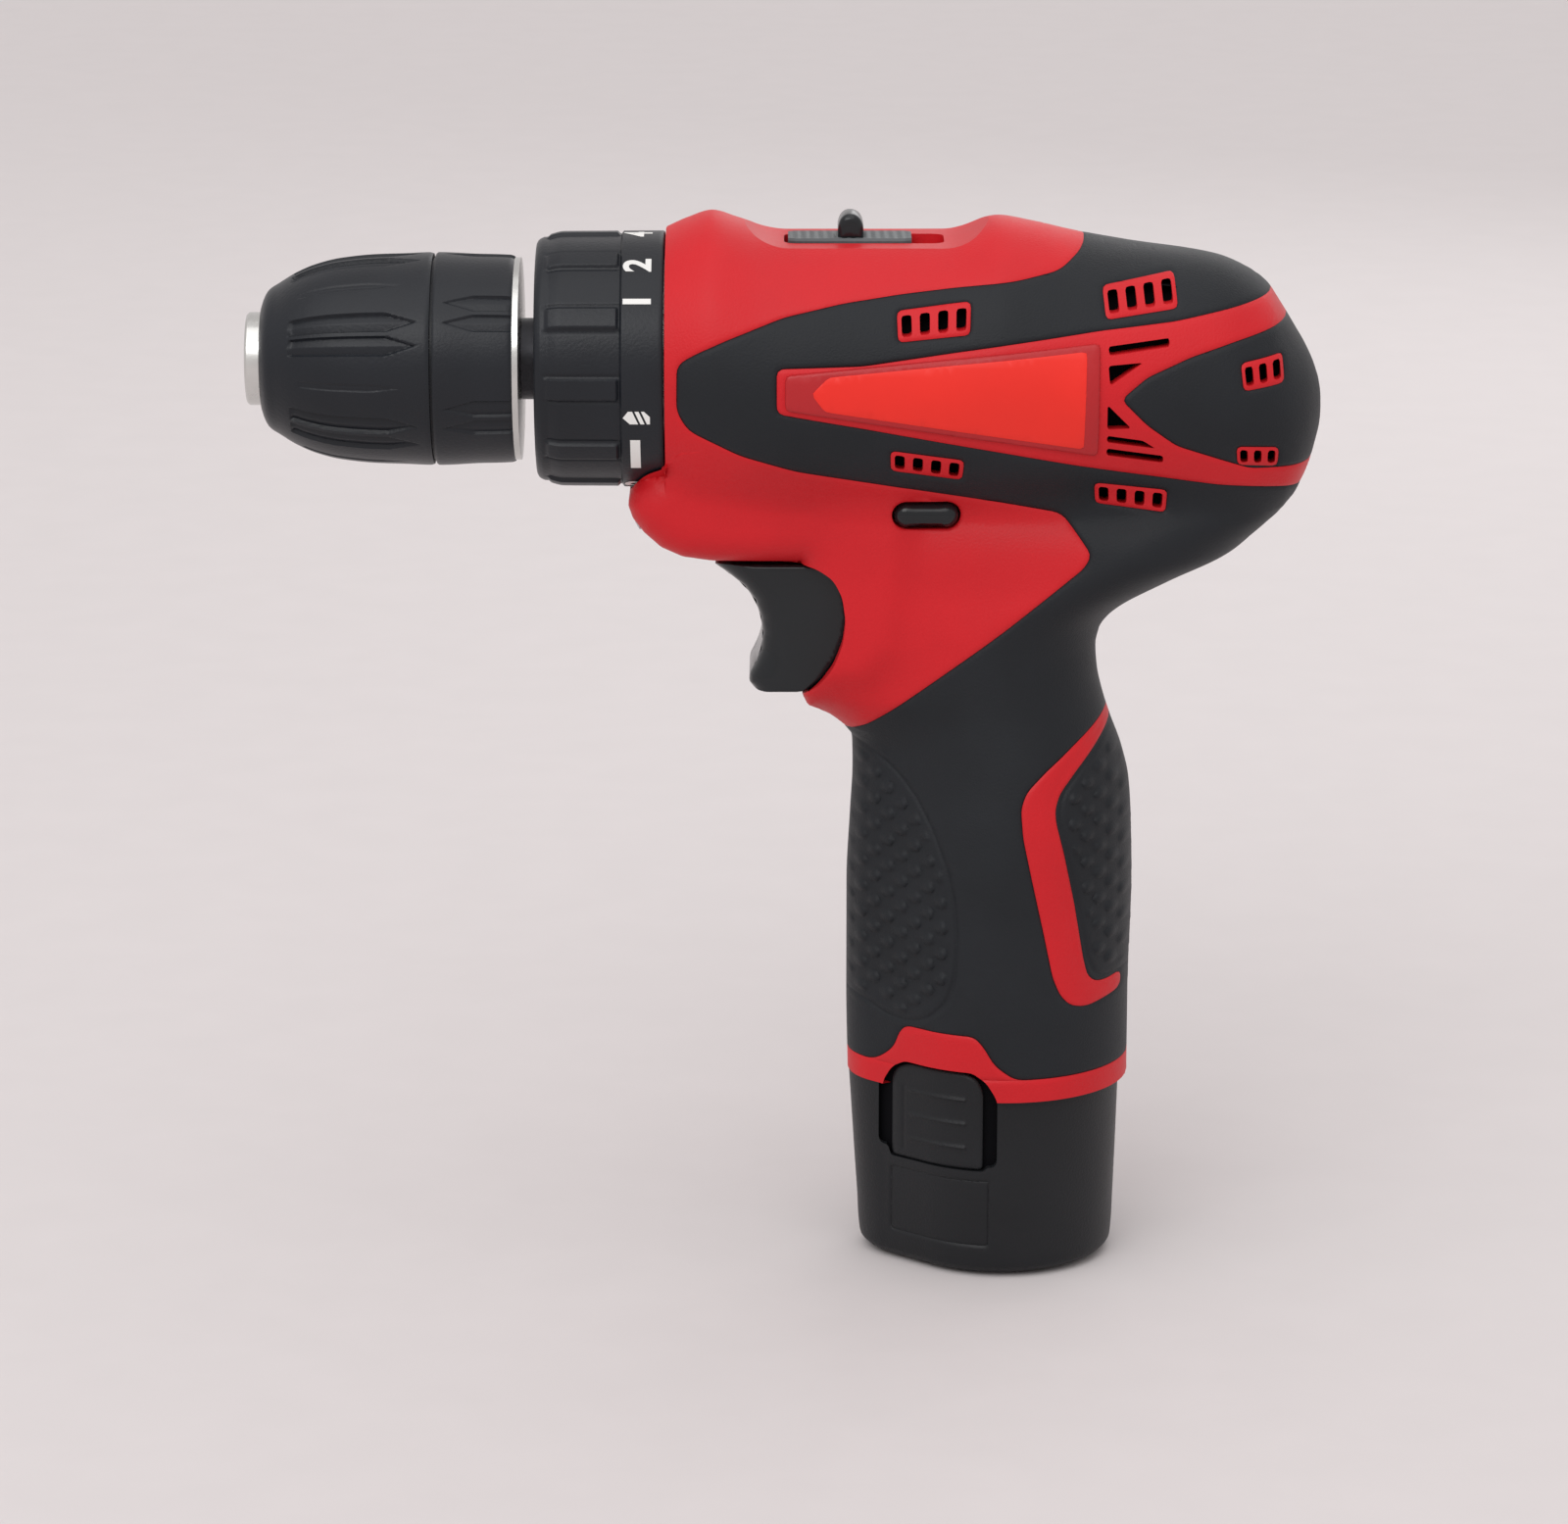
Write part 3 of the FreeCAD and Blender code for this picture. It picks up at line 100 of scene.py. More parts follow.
def finish(
    name, colour, rough, metal=0.0, grain=0.0, grain_size=400, mottle=0.12, rough_spread=0.08, gleam=0.35,
):
    """A moulded or machined surface: colour, roughness, and grain_size bumps per metre."""
    material = bpy.data.materials.new(name)
    material.use_nodes = True
    nodes, links = material.node_tree.nodes, material.node_tree.links
    shader = nodes["Principled BSDF"]
    shader.inputs["Metallic"].default_value = metal
    shader.inputs["Specular IOR Level"].default_value = gleam
    place = nodes.new("ShaderNodeTexCoord")
    cloud = nodes.new("ShaderNodeTexNoise")
    cloud.inputs["Scale"].default_value = 60
    cloud.inputs["Detail"].default_value = 4
    links.new(place.outputs["Object"], cloud.inputs["Vector"])
    shades = nodes.new("ShaderNodeValToRGB")
    shades.color_ramp.elements[0].position = 0.3
    shades.color_ramp.elements[1].position = 0.7
    dark = [channel * (1 - mottle) for channel in colour]
    light = [min(1, channel * (1 + mottle)) for channel in colour]
    shades.color_ramp.elements[0].color = (*dark, 1)
    shades.color_ramp.elements[1].color = (*light, 1)
    links.new(cloud.outputs["Fac"], shades.inputs["Fac"])
    links.new(shades.outputs["Color"], shader.inputs["Base Color"])
    spread = nodes.new("ShaderNodeMapRange")
    spread.inputs["To Min"].default_value = max(0.02, rough - rough_spread)
    spread.inputs["To Max"].default_value = min(1, rough + rough_spread)
    links.new(cloud.outputs["Fac"], spread.inputs["Value"])
    links.new(spread.outputs["Result"], shader.inputs["Roughness"])
    if grain:
        pits = nodes.new("ShaderNodeTexNoise")
        pits.inputs["Scale"].default_value = grain_size
        pits.inputs["Detail"].default_value = 3
        links.new(place.outputs["Object"], pits.inputs["Vector"])
        bump = nodes.new("ShaderNodeBump")
        bump.inputs["Strength"].default_value = grain
        bump.inputs["Distance"].default_value = 0.0002
        links.new(pits.outputs["Fac"], bump.inputs["Height"])
        links.new(bump.outputs["Normal"], shader.inputs["Normal"])
    return material


red_shell = finish(
    "red_shell_plastic", (0.57, 0.011, 0.017), 0.46, grain=0.35, grain_size=2600, mottle=0.05, gleam=0.25)
black_grip = finish("black_soft_grip", (0.013, 0.015, 0.018), 0.52, grain=0.45, grain_size=3000, gleam=0.22)
badge_plate = finish("badge_plate_red", (0.42, 0.012, 0.016), 0.35, grain=0.15, grain_size=2000, mottle=0.05)
badge_sticker = finish("badge_sticker_red", (0.80, 0.022, 0.012), 0.42, mottle=0.04, rough_spread=0.05)
chuck_black = finish("chuck_black_nylon", (0.010, 0.012, 0.016), 0.38, grain=0.25, grain_size=1800, gleam=0.3)
battery_black = finish(
    "battery_black_plastic", (0.012, 0.013, 0.015), 0.45, grain=0.4, grain_size=2600, gleam=0.25)
gloss_black = finish("polished_black", (0.010, 0.012, 0.014), 0.18, mottle=0.1, rough_spread=0.04)
selector_grey = finish("selector_grey", (0.085, 0.095, 0.10), 0.5, grain=0.5, grain_size=1500, mottle=0.2)
steel = finish("turned_steel", (0.62, 0.62, 0.60), 0.26, metal=1.0, grain=0.15, grain_size=900, mottle=0.08)
dark_steel = finish(
    "blackened_steel", (0.05, 0.05, 0.055), 0.4, metal=1.0, grain=0.2, grain_size=900, mottle=0.15)
copper = finish("copper", (0.72, 0.36, 0.2), 0.32, metal=1.0, mottle=0.12)
nylon = finish("glass_filled_nylon", (0.34, 0.34, 0.31), 0.55, grain=0.4, grain_size=1500, mottle=0.1)
board_green = finish("circuit_board", (0.02, 0.13, 0.05), 0.45, grain=0.3, grain_size=700, mottle=0.25)
cell_wrap = finish("cell_shrink_sleeve", (0.03, 0.16, 0.42), 0.3, mottle=0.1, rough_spread=0.05)
# Near-black matt finish that paints shade: it stands in for the shadowed rooms behind the vents and beside the
# latch.
painted_shade_black = finish("painted_shade_matt_black", (0.003, 0.003, 0.004), 0.85, gleam=0.08)
print_white = finish("printed_white", (0.78, 0.78, 0.76), 0.5, mottle=0.06)
clear_lens = finish("clear_lens", (0.72, 0.75, 0.78), 0.12, mottle=0.05, rough_spread=0.03, gleam=0.5)
clear_lens.node_tree.nodes["Principled BSDF"].inputs["Transmission Weight"].default_value = 0.5
print("finishes:", len(bpy.data.materials))

# %% [markdown]
# A smooth line through a few stations. Shape-preserving cubic pieces never swing past the stations they
# join, so a housing's top line keeps its two humps and gets no waves in between.

# %% Smooth line through stations


def smooth_line(stations):
    """A function through (position, value) stations, with no overshoot between them."""
    x, y = np.array(sorted(stations), float).T
    step, rise = np.diff(x), np.diff(y)
    slope = rise / step
    tangent = np.zeros(len(x))
    tangent[0], tangent[-1] = slope[0], slope[-1]
    for i in range(1, len(x) - 1):
        if slope[i - 1] * slope[i] > 0:
            before, after = 2 * step[i] + step[i - 1], step[i] + 2 * step[i - 1]
            tangent[i] = (before + after) / (before / slope[i - 1] + after / slope[i])

    def line(at):
        at = np.clip(np.asarray(at, float), x[0], x[-1])
        i = np.clip(np.searchsorted(x, at) - 1, 0, len(step) - 1)
        t = (at - x[i]) / step[i]
        return (
            (2 * t**3 - 3 * t**2 + 1) * y[i] + (t**3 - 2 * t**2 + t) * step[i] * tangent[i]
            + (3 * t**2 - 2 * t**3) * y[i + 1] + (t**3 - t**2) * step[i] * tangent[i + 1]
        )

    return line


def rounded_outline(corners, spacing=0.8, radius=1.2):
    """A closed outline through the corners, each corner cut by a small arc, as evenly spaced points."""
    corners = [np.array(corner, float) for corner in corners]
    points = []
    for before, corner, after in zip(corners[-1:] + corners[:-1], corners, corners[1:] + corners[:1]):
        back, ahead = before - corner, after - corner
        reach = min(radius, 0.45 * np.linalg.norm(back), 0.45 * np.linalg.norm(ahead))
        start = corner + back / np.linalg.norm(back) * reach
        end = corner + ahead / np.linalg.norm(ahead) * reach
        for t in (0, 0.25, 0.5, 0.75, 1):
            points.append((1 - t) ** 2 * start + 2 * t * (1 - t) * corner + t**2 * end)
    return even(points, spacing)


def even(points, spacing, closed=True):
    """The same line with its points about the given spacing apart, corners kept within it."""
    points = np.array(points, float)
    if closed:
        points = np.vstack([points, points[:1]])
    lengths = np.linalg.norm(np.diff(points, axis=0), axis=1)
    run = np.concatenate([[0], np.cumsum(lengths)])
    count = max(3, int(round(run[-1] / spacing)))
    at = np.linspace(0, run[-1], count + 1)
    line = np.column_stack([np.interp(at, run, points[:, k]) for k in (0, 1)])
    return line[:-1] if closed else line


print("rounded square has", len(rounded_outline([(0, 0), (10, 0), (10, 10), (0, 10)])), "points")

# %% [markdown]
# The two housing halves. Real halves are moulded shells that meet on the middle plane, so each can be
# written as a height: how far the skin stands out from that plane at every point of the side view. Three
# simple forms make it, the barrel, the handle and the chin with the trigger's cheeks, and the skin is the
# outermost of them.

# %% Body forms, in millimetres
TOP = smooth_line([
    (72.2, 22.7), (76, 24.4), (80.1, 25.6), (84.3, 24.4), (88.4, 23.2), (92.4, 22.9), (106, 22.9),
    (120.1, 23.0), (125.1, 23.9), (129.1, 24.7), (135.2, 23.7), (141.7, 22.2), (151.2, 20.5),
    (166.6, 18.1), (172.3, 15.7), (175.4, 13.4), (177.8, 9.9), (180.2, 6.0), (182.4, 2.2),
    (184.0, -1.6), (184.8, -5.0), (184.98, -7.6),
])
BOTTOM = smooth_line([
    (72.2, -22.7), (80.1, -24.5), (88.4, -25.6), (100.0, -26.4), (120.1, -27.2), (141.7, -27.6),
    (155.0, -27.4), (166.6, -27.0), (174.0, -26.5), (178.0, -25.6), (180.2, -23.6), (181.6, -20.9),
    (182.8, -18.1), (184.0, -13.9), (184.8, -10.4), (184.98, -7.8),
])
WIDTH = smooth_line([
    (72.2, 22.8), (80.1, 24.7), (88.4, 25.4), (100.0, 25.9), (120.1, 25.95), (129.1, 26.0),
    (141.7, 25.6), (151.2, 24.8), (166.6, 22.4), (174.0, 20.0), (178.0, 17.4), (181.5, 13.2),
    (183.5, 8.8), (184.6, 4.6), (184.98, 0.5),
])
FRONT = smooth_line([
    (-127.4, 103.7), (-112, 103.4), (-93, 103.4), (-80, 104.0), (-72, 104.4), (-67, 104.3),
    (-63.5, 101.8), (-61, 99.2), (-57, 95.8), (-33, 95.8), (-26, 95.0), (-16, 95.0),
])
REAR = smooth_line([
    (-127.4, 153.2), (-112, 153.2), (-93, 153.6), (-81, 153.3), (-74.3, 152.8), (-68.7, 151.5),
    (-62.7, 149.3), (-58.7, 148.0), (-54.2, 147.0), (-50.2, 146.7), (-46.6, 147.5), (-44.1, 149.3),
    (-41.9, 152.1), (-37.2, 161.0), (-32.5, 170.6), (-29.5, 174.2), (-27.7, 176.3), (-25, 179.0),
    (-16, 181.5),
])
CORNER = smooth_line([
    (-127.4, 12), (-93, 12), (-76, 12), (-66, 12), (-57, 14), (-45, 15), (-32, 15), (-16, 15),
])
HALF = smooth_line([
    (-127.4, 22.2), (-112, 22.3), (-93, 22.4), (-80, 21.9), (-70, 20.7), (-60, 19.3), (-50, 18.7),
    (-44, 19.1), (-38, 19.9), (-32.5, 20.8), (-26, 21.6), (-16, 21.7),
])
CHEEK = 15.4
CHIN = [
    (65.5, -23.3), (66.4, -25.9), (68.3, -28.4), (71.2, -31.0), (75.0, -32.7), (80.0, -33.4),
    (88.0, -33.5), (95.2, -33.5), (95.5, -57.1), (96.5, -59.4), (99.2, -61.0), (103.6, -64.2),
    (112, -62), (121, -52), (124, -20), (90, -10), (74, -13), (72.2, -16.2), (68.9, -17.4),
    (66.6, -20.2),
]


print("barrel is", round(float(TOP(100) - BOTTOM(100)), 1), "mm high at x = 100")

# %% [markdown]
# Barrel and handle as heights. The barrel is round in every cross-section, and the handle is egg-shaped,
# with a small corner for the fingers and a large one for the palm.

# %% Heights of barrel and handle


def smooth_step(value, low, high):
    share = np.clip((value - low) / (high - low), 0, 1)
    return share * share * (3 - 2 * share)


def barrel_height(x, z):
    top, bottom = TOP(x), BOTTOM(x)
    rise = (z - (top + bottom) / 2) / np.maximum((top - bottom) / 2, 0.01)
    height = WIDTH(x) * np.sqrt(np.clip(1 - rise**2, 0, None))
    return np.where((x >= 72.15) & (x <= 185), height, 0)


def egg_height(x, front, rear, corner, half):
    """Half thickness of an egg-shaped section: a small round corner in front, a large one behind."""
    front_x, rear_x = front + corner, rear - half
    span = np.maximum(rear_x - front_x, 0.5)
    tilt = np.clip((half - corner) / span, -1, 1)
    level = np.sqrt(np.clip(1 - tilt**2, 0, 1))
    front_touch, rear_touch = front_x - tilt * corner, rear_x - tilt * half
    front_part = np.sqrt(np.clip(corner**2 - (x - front_x) ** 2, 0, None))
    rear_part = np.sqrt(np.clip(half**2 - (x - rear_x) ** 2, 0, None))
    flank = (corner + (x - front_x) * tilt) / np.maximum(level, 0.2)
    return np.where(x < front_touch, front_part, np.where(x > rear_touch, rear_part, flank))


def handle_height(x, z):
    front, rear = FRONT(z), REAR(z)
    height = egg_height(x, front, rear, CORNER(z), HALF(z)) * (1 - 0.45 * smooth_step(z, -34, -8))
    return np.where((x >= front) & (x <= rear) & (z >= -127.45) & (z <= -8), height, 0)


print("handle is", round(float(2 * handle_height(128, -90)), 1), "mm thick at the palm")

# %% [markdown]
# The chin carries the trigger's cheeks and hugs the collar with a little room. Where two forms meet, a
# soft maximum fills the corner as a mould's fillet does.

# %% Height of the chin, and all forms together


def line_distance(points, line, closed=True):
    """How far each point is from a line of points."""
    ends = np.roll(line, -1, axis=0) if closed else line[1:]
    starts = line if closed else line[:-1]
    nearest = np.full(len(points), 1e9)
    for a, b in zip(starts, ends):
        along = b - a
        share = np.clip(((points - a) @ along) / max(along @ along, 1e-12), 0, 1)
        nearest = np.minimum(nearest, np.hypot(*(points - a - share[:, None] * along).T))
    return nearest


def inside(points, outline):
    """Which points lie inside a closed outline."""
    x, z = points.T
    result = np.zeros(len(points), bool)
    for (x1, z1), (x2, z2) in zip(outline, np.roll(outline, -1, axis=0)):
        crosses = (z1 > z) != (z2 > z)
        with np.errstate(divide="ignore", invalid="ignore"):
            at = (x2 - x1) * (z - z1) / (z2 - z1) + x1
        result ^= crosses & (x < at)
    return result


CHIN_LINE = rounded_outline(CHIN, 0.7, 9.0)
CHIN_EDGE = np.array([*CHIN[-3:], *CHIN[:12]], float)
CHIN_INNER = np.array(CHIN[11:15], float)
CHIN_ROUND = 6.0
COLLAR_ROOM = 22.4


def chin_height(points):
    distance = line_distance(points, CHIN_EDGE, closed=False)
    round_off = np.clip(CHIN_ROUND - distance, 0, CHIN_ROUND)
    height = CHEEK - CHIN_ROUND + np.sqrt(CHIN_ROUND**2 - round_off**2)
    fade = 0.35 + 0.65 * smooth_step(line_distance(points, CHIN_INNER, closed=False), 0, 13)
    hug = np.sqrt(np.clip(COLLAR_ROOM**2 - points[:, 1] ** 2, 0, None)) * (points[:, 0] < 72.2)
    within = inside(points, CHIN_LINE) | (line_distance(points, CHIN_LINE) < 0.01)
    return np.where(within, np.maximum(height * fade, hug), 0)


def soft_max(first, second, blend):
    """The greater of two heights, with their meeting line filled like a moulded fillet."""
    blend = np.minimum(blend, np.minimum(first, second)) + 1e-9
    near = np.clip(1 - np.abs(first - second) / blend, 0, 1)
    return np.maximum(first, second) + blend * near**2 / 4


def body_height(points):
    x, z = points.T
    return soft_max(soft_max(barrel_height(x, z), handle_height(x, z), 7), chin_height(points), 6)


sample = np.array([(100, 0), (120, -24), (128, -90)], float)
print("half thickness at barrel, button and handle:", body_height(sample).round(1))

# %% [markdown]
# Where red plastic shows and where the soft black grip covers it. The real tool is moulded twice: red first,
# then black rubber flows into a shallow seat. Each outline below is one edge of that seat, drawn as few
# corners joined by small arcs.

# %% Outlines of colours, openings and raised parts
BAND = [
    (74.3, 3.2), (77.6, 5.2), (82.5, 7.4), (92.4, 11.1), (102.2, 13.2), (112.1, 14.6), (131.8, 16.7),
    (139.1, 18.0), (143.5, 21.0), (145.3, 25.5), (200, 40), (200, -60), (170, -123.4), (90, -123.4),
    (90, -68.0), (103.0, -64.4), (106.5, -62.4), (116.5, -54.6), (130.8, -43.4), (143.6, -32.6),
    (144.8, -30.4), (142.4, -27.0), (139.7, -23.6), (128.5, -21.6), (107.7, -17.9), (94.4, -15.6),
    (84.9, -12.7), (76.2, -8.3), (74.2, -4.9),
]
RED_V = [
    (91.2, 2.8), (105.6, 3.3), (130.8, 6.9), (145.6, 8.8), (158.4, 9.9), (171.0, 11.9), (200, 17),
    (200, -23), (177.7, -19.6), (166.5, -18.4), (156.3, -16.6), (141.1, -14.0), (105.6, -7.3),
    (91.2, -4.8),
]
REAR_PAD = [
    (149.2, -2.4), (153.6, 1.2), (161.1, 4.3), (168.6, 6.4), (176.2, 8.1), (200, 12), (200, -16.5),
    (171.6, -15.5), (158.8, -10.8), (153.7, -7.0),
]
RED_STRIP = [
    (148.6, -60.6), (142.6, -64.7), (137.4, -68.8), (134.2, -72.0), (133.2, -74.8), (133.6, -79.9),
    (135.1, -87.0), (137.3, -97.0), (139.0, -105.2), (140.4, -108.6), (142.2, -110.6), (145.0, -111.3),
    (151.4, -110.0), (151.4, -107.0), (148.6, -107.4), (146.6, -107.2), (145.2, -105.8),
    (144.4, -102.6), (142.6, -92.0), (140.7, -83.0), (139.3, -77.6), (139.1, -75.2), (139.9, -72.6),
    (142.7, -69.2), (150.0, -61.6),
]
REAR_DOTS = [
    (150.8, -61.4), (142.9, -69.9), (140.3, -73.0), (139.9, -76.6), (141.6, -84.4), (143.5, -93.6),
    (145.2, -103.2), (146.6, -106.0), (149.2, -106.6), (160, -106.6), (160, -61.4),
]
FRONT_DOTS = [
    (90, -66.2), (105.0, -66.0), (108.5, -67.8), (112.0, -70.4), (115.3, -74.3), (118.4, -80.0),
    (120.6, -86.0), (122.0, -92.5), (122.4, -99.0), (122.0, -105.6), (120.6, -110.0), (117.8, -113.2),
    (114.4, -114.8), (110.4, -114.4), (106.6, -112.4), (90, -109.0),
]
MOUTH = [
    (60, -33.55), (60, -57.0), (95.6, -57.0), (98.6, -54.4), (101.0, -51.0), (102.5, -47.0),
    (103.0, -43.0), (102.4, -38.6), (100.8, -35.6), (98.0, -33.9), (94.0, -33.55),
]
LATCH_ARCH = [
    (100, -123.4), (108.4, -123.4), (111.6, -120.4), (112.6, -117.2), (113.8, -115.7), (125.4, -115.7),
    (127.0, -117.4), (129.0, -120.8), (132.6, -123.4), (160, -123.4), (160, -130), (100, -130),
]
LATCH_MOUTH = [
    (109.4, -130), (109.9, -126.6), (111.2, -124.0), (113.4, -122.2), (125.2, -122.2), (127.7, -124.0),
    (129.3, -126.6), (130.2, -130),
]
BADGE = [
    (92.6, 1.9), (145.6, 7.0), (145.4, -12.3), (92.6, -4.1),
]
STICKER = [
    (97.0, -1.2), (99.9, 1.7), (143.4, 5.8), (143.0, -10.9), (99.3, -4.2),
]
VENTS = [
    ((111.4, 12.1), (123.9, 13.6), (123.7, 8.4), (111.6, 7.2), 4),
    ((146.2, 15.6), (158.6, 17.2), (159.0, 11.9), (146.7, 10.5), 4),
    ((110.4, -11.4), (122.9, -13.2), (122.6, -17.0), (110.5, -15.2), 4),
    ((145.1, -17.6), (157.6, -19.2), (157.4, -23.2), (145.4, -21.6), 4),
    ((169.6, 2.9), (177.0, 3.9), (177.3, -0.9), (170.1, -1.7), 3),
    ((169.1, -11.3), (176.5, -11.9), (176.4, -15.4), (169.4, -14.7), 3),
]
GRILLE = [
    [(147.0, 6.4), (157.4, 7.5), (157.4, 6.1), (147.2, 4.9)],
    [(147.0, 3.3), (152.9, 3.7), (147.3, 0.0)],
    [(146.9, -3.2), (151.0, -7.4), (146.9, -7.5)],
    [(146.9, -8.6), (153.0, -9.6), (155.2, -11.1), (146.9, -9.8)],
    [(146.9, -10.9), (156.6, -12.5), (156.6, -13.8), (146.9, -12.2)],
]
BUTTON_X, BUTTON_Z = (sum(corner[axis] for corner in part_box("direction_button")) / 2 / MM for axis in (0, 2))
BUTTON_LONG, BUTTON_HIGH = 11.8, 5.1
SCREW_SPOTS = [
    (77.0, -27.6), (140.5, -34.5), (113.0, -70.5), (142.5, -69.5), (171.0, 8.5), (172.5, -16.5),
    (92.5, -29.8),
]


print("vents on one side:", len(VENTS), "grille openings:", len(GRILLE))

# %% [markdown]
# Each outline becomes a closed line of evenly spaced points, and each vent frame gets its slots.

# %% Lines made from the outlines


def pill_outline(length, height, x, z, points=16):
    """A bar with round ends, seen from the side."""
    flat = (length - height) / 2
    line = []
    for end, start in ((1, -90), (-1, 90)):
        for k in range(points + 1):
            turn = math.radians(start + 180 * k / points)
            line.append((x + end * flat + math.cos(turn) * height / 2, z + math.sin(turn) * height / 2))
    return np.array(line)


def circle_outline(radius, x, z, points=28):
    turns = 2 * np.pi * np.arange(points) / points
    return np.column_stack([x + radius * np.cos(turns), z + radius * np.sin(turns)])


def vent_slot_outlines(vent):
    """The open slots inside one vent frame, leaning with the frame."""
    (top_a, top_b, low_b, low_a), count = (np.array(vent[:4], float), vent[4])
    slots = []
    for k in range(count):
        left, right = (k + 0.22) / count, (k + 0.78) / count
        corners = []
        for share, depth in ((left, 0.16), (right, 0.16), (right, 0.84), (left, 0.84)):
            top = top_a + (top_b - top_a) * share
            low = low_a + (low_b - low_a) * share
            corners.append(top + (low - top) * depth)
        slots.append(rounded_outline(corners, 0.5, 0.45))
    return slots


LINES = {
    "band": rounded_outline(BAND, 0.8, 1.6),
    "red_v": rounded_outline(RED_V, 0.8, 1.2),
    "rear_pad": rounded_outline(REAR_PAD, 0.8, 1.2),
    "red_strip": rounded_outline(RED_STRIP, 0.7, 1.2),
    "rear_dots": rounded_outline(REAR_DOTS, 0.7, 1.5),
    "front_dots": rounded_outline(FRONT_DOTS, 0.7, 1.5),
    "latch_arch": rounded_outline(LATCH_ARCH, 0.7, 1.6),
}
FRAME_LINES = [rounded_outline(vent[:4], 0.6, 0.9) for vent in VENTS]
HOLE_LINES = [slot for vent in VENTS for slot in vent_slot_outlines(vent)]
HOLE_LINES += [rounded_outline(opening, 0.5, 0.4) for opening in GRILLE]
HOLE_LINES += [pill_outline(BUTTON_LONG, BUTTON_HIGH, BUTTON_X, BUTTON_Z)]
MOUTH_LINE = rounded_outline(MOUTH, 0.6, 1.2)
LATCH_LINE = rounded_outline(LATCH_MOUTH, 0.6, 0.8)
print("openings on one side:", len(HOLE_LINES) + 2)

# %% [markdown]
# Skinning the side view. A Delaunay triangulation takes the outlines as edges that it must keep, plus a
# scatter of inner points, so every colour edge and slot is exact. Points crowd towards edges and towards the
# rim, where the skin curls away, because that is where light shows facets first.

# %% Triangulated side skin


def grid_points(spacing, low_x, high_x, low_z, high_z):
    """Staggered rows of points."""
    rows = np.arange(low_z, high_z, spacing * 0.87)
    points = []
    for n, z in enumerate(rows):
        points += [(x + (n % 2) * spacing / 2, z) for x in np.arange(low_x, high_x, spacing)]
    return np.array(points)


def offset_rings(line, distances):
    """Points beside a closed line, at each distance on both sides."""
    ahead = np.roll(line, -1, axis=0) - np.roll(line, 1, axis=0)
    normal = np.column_stack([ahead[:, 1], -ahead[:, 0]]) / np.maximum(np.hypot(*ahead.T), 1e-9)[:, None]
    return np.vstack([line + sign * d * normal for d in distances for sign in (1, -1)])


BARREL_X = np.concatenate([np.linspace(72.2, 180, 136), 184.98 - 4.98 * np.linspace(1, 0, 22)[1:] ** 2])
BARREL_LINE = np.vstack([
    np.column_stack([BARREL_X, TOP(BARREL_X)]),
    np.column_stack([BARREL_X[::-1], BOTTOM(BARREL_X[::-1])]),
])
BARREL_LINE = even(BARREL_LINE, 0.7)
HANDLE_Z = np.linspace(-127.4, -8, 160)
HANDLE_LINE = even(np.vstack([
    np.column_stack([FRONT(HANDLE_Z), HANDLE_Z]),
    np.column_stack([REAR(HANDLE_Z[::-1]), HANDLE_Z[::-1]]),
]), 0.7)
RIM_STEPS = (0.03, 0.12, 0.3, 0.6, 1.05, 1.7)
EDGE_STEPS = (0.14, 0.32, 0.6, 1.0)
OPEN_STEPS = (0.2, 0.5)
print("rim points:", len(BARREL_LINE) + len(HANDLE_LINE))


def closed_segments(*lines):
    """Index pairs that join each line's points into a closed loop, one line after another."""
    segments, count = [], 0
    for line in lines:
        segments += [(count + i, count + (i + 1) % len(line)) for i in range(len(line))]
        count += len(line)
    return segments


def flat_triangles(points, segments, kind=0):
    """Triangles that keep every segment: kind 0 fills the whole hull, kind 1 only the inside."""
    verts, _, faces, *_ = delaunay_2d_cdt([Vector(p) for p in points], segments, [], kind, 1e-5)
    return np.array([(v.x, v.y) for v in verts]), np.array([face for face in faces if len(face) == 3])


def triangulate(rims, edges, openings, keep_out):
    """2D points and triangles of the side view, every line kept as triangle edges."""
    lines = [*rims, *edges, *openings]
    fixed = np.vstack(lines)
    loose = [offset_rings(line, RIM_STEPS) for line in rims]
    loose += [offset_rings(line, EDGE_STEPS) for line in edges]
    loose += [offset_rings(line, OPEN_STEPS) for line in openings]
    loose.append(grid_points(1.25, 64, 186, -128, 26))
    dots = grid_points(0.42, 102, 154, -115, -60)
    in_dots = inside(dots, LINES["front_dots"]) | inside(dots, LINES["rear_dots"])
    loose.append(dots[in_dots])
    loose = np.vstack(loose)
    cell = 0.13
    seen = {(round(x / cell), round(z / cell)) for x, z in fixed}
    kept = []
    for x, z in loose:
        key = (round(x / cell), round(z / cell))
        if key not in seen and 64 < x < 186 and -128 < z < 26:
            seen.add(key)
            kept.append((x, z))
    kept = np.array(kept)
    kept = kept[body_height(kept) > 0.05]
    kept = kept[~inside(kept, keep_out)]
    return flat_triangles(np.vstack([fixed, kept]), closed_segments(*lines))

# %% [markdown]
# Relief on the skin: rows of low round bumps on both grip pads, a groove round each pad, and a soft
# shallow seam wherever two colours meet.

# %% Grip bumps and seams


def raised_dots(points):
    """Rows of low round bumps on the two grip pads."""
    pitch, tall, radius = 4.6, 0.85, 1.15
    row = np.round(points[:, 1] / (pitch * 0.5))
    shift = (row % 2) * pitch / 2
    column = np.round((points[:, 0] - shift) / pitch)
    distance = np.hypot(points[:, 0] - shift - column * pitch, points[:, 1] - row * pitch * 0.5)
    bump = tall * np.clip(1 - (distance / radius) ** 2, 0, None) ** 0.8
    clear = np.zeros(len(points))
    for name in ("front_dots", "rear_dots"):
        deep = np.where(inside(points, LINES[name]), line_distance(points, LINES[name]), 0)
        clear = np.maximum(clear, smooth_step(deep, 0.9, 1.9))
    return bump * clear


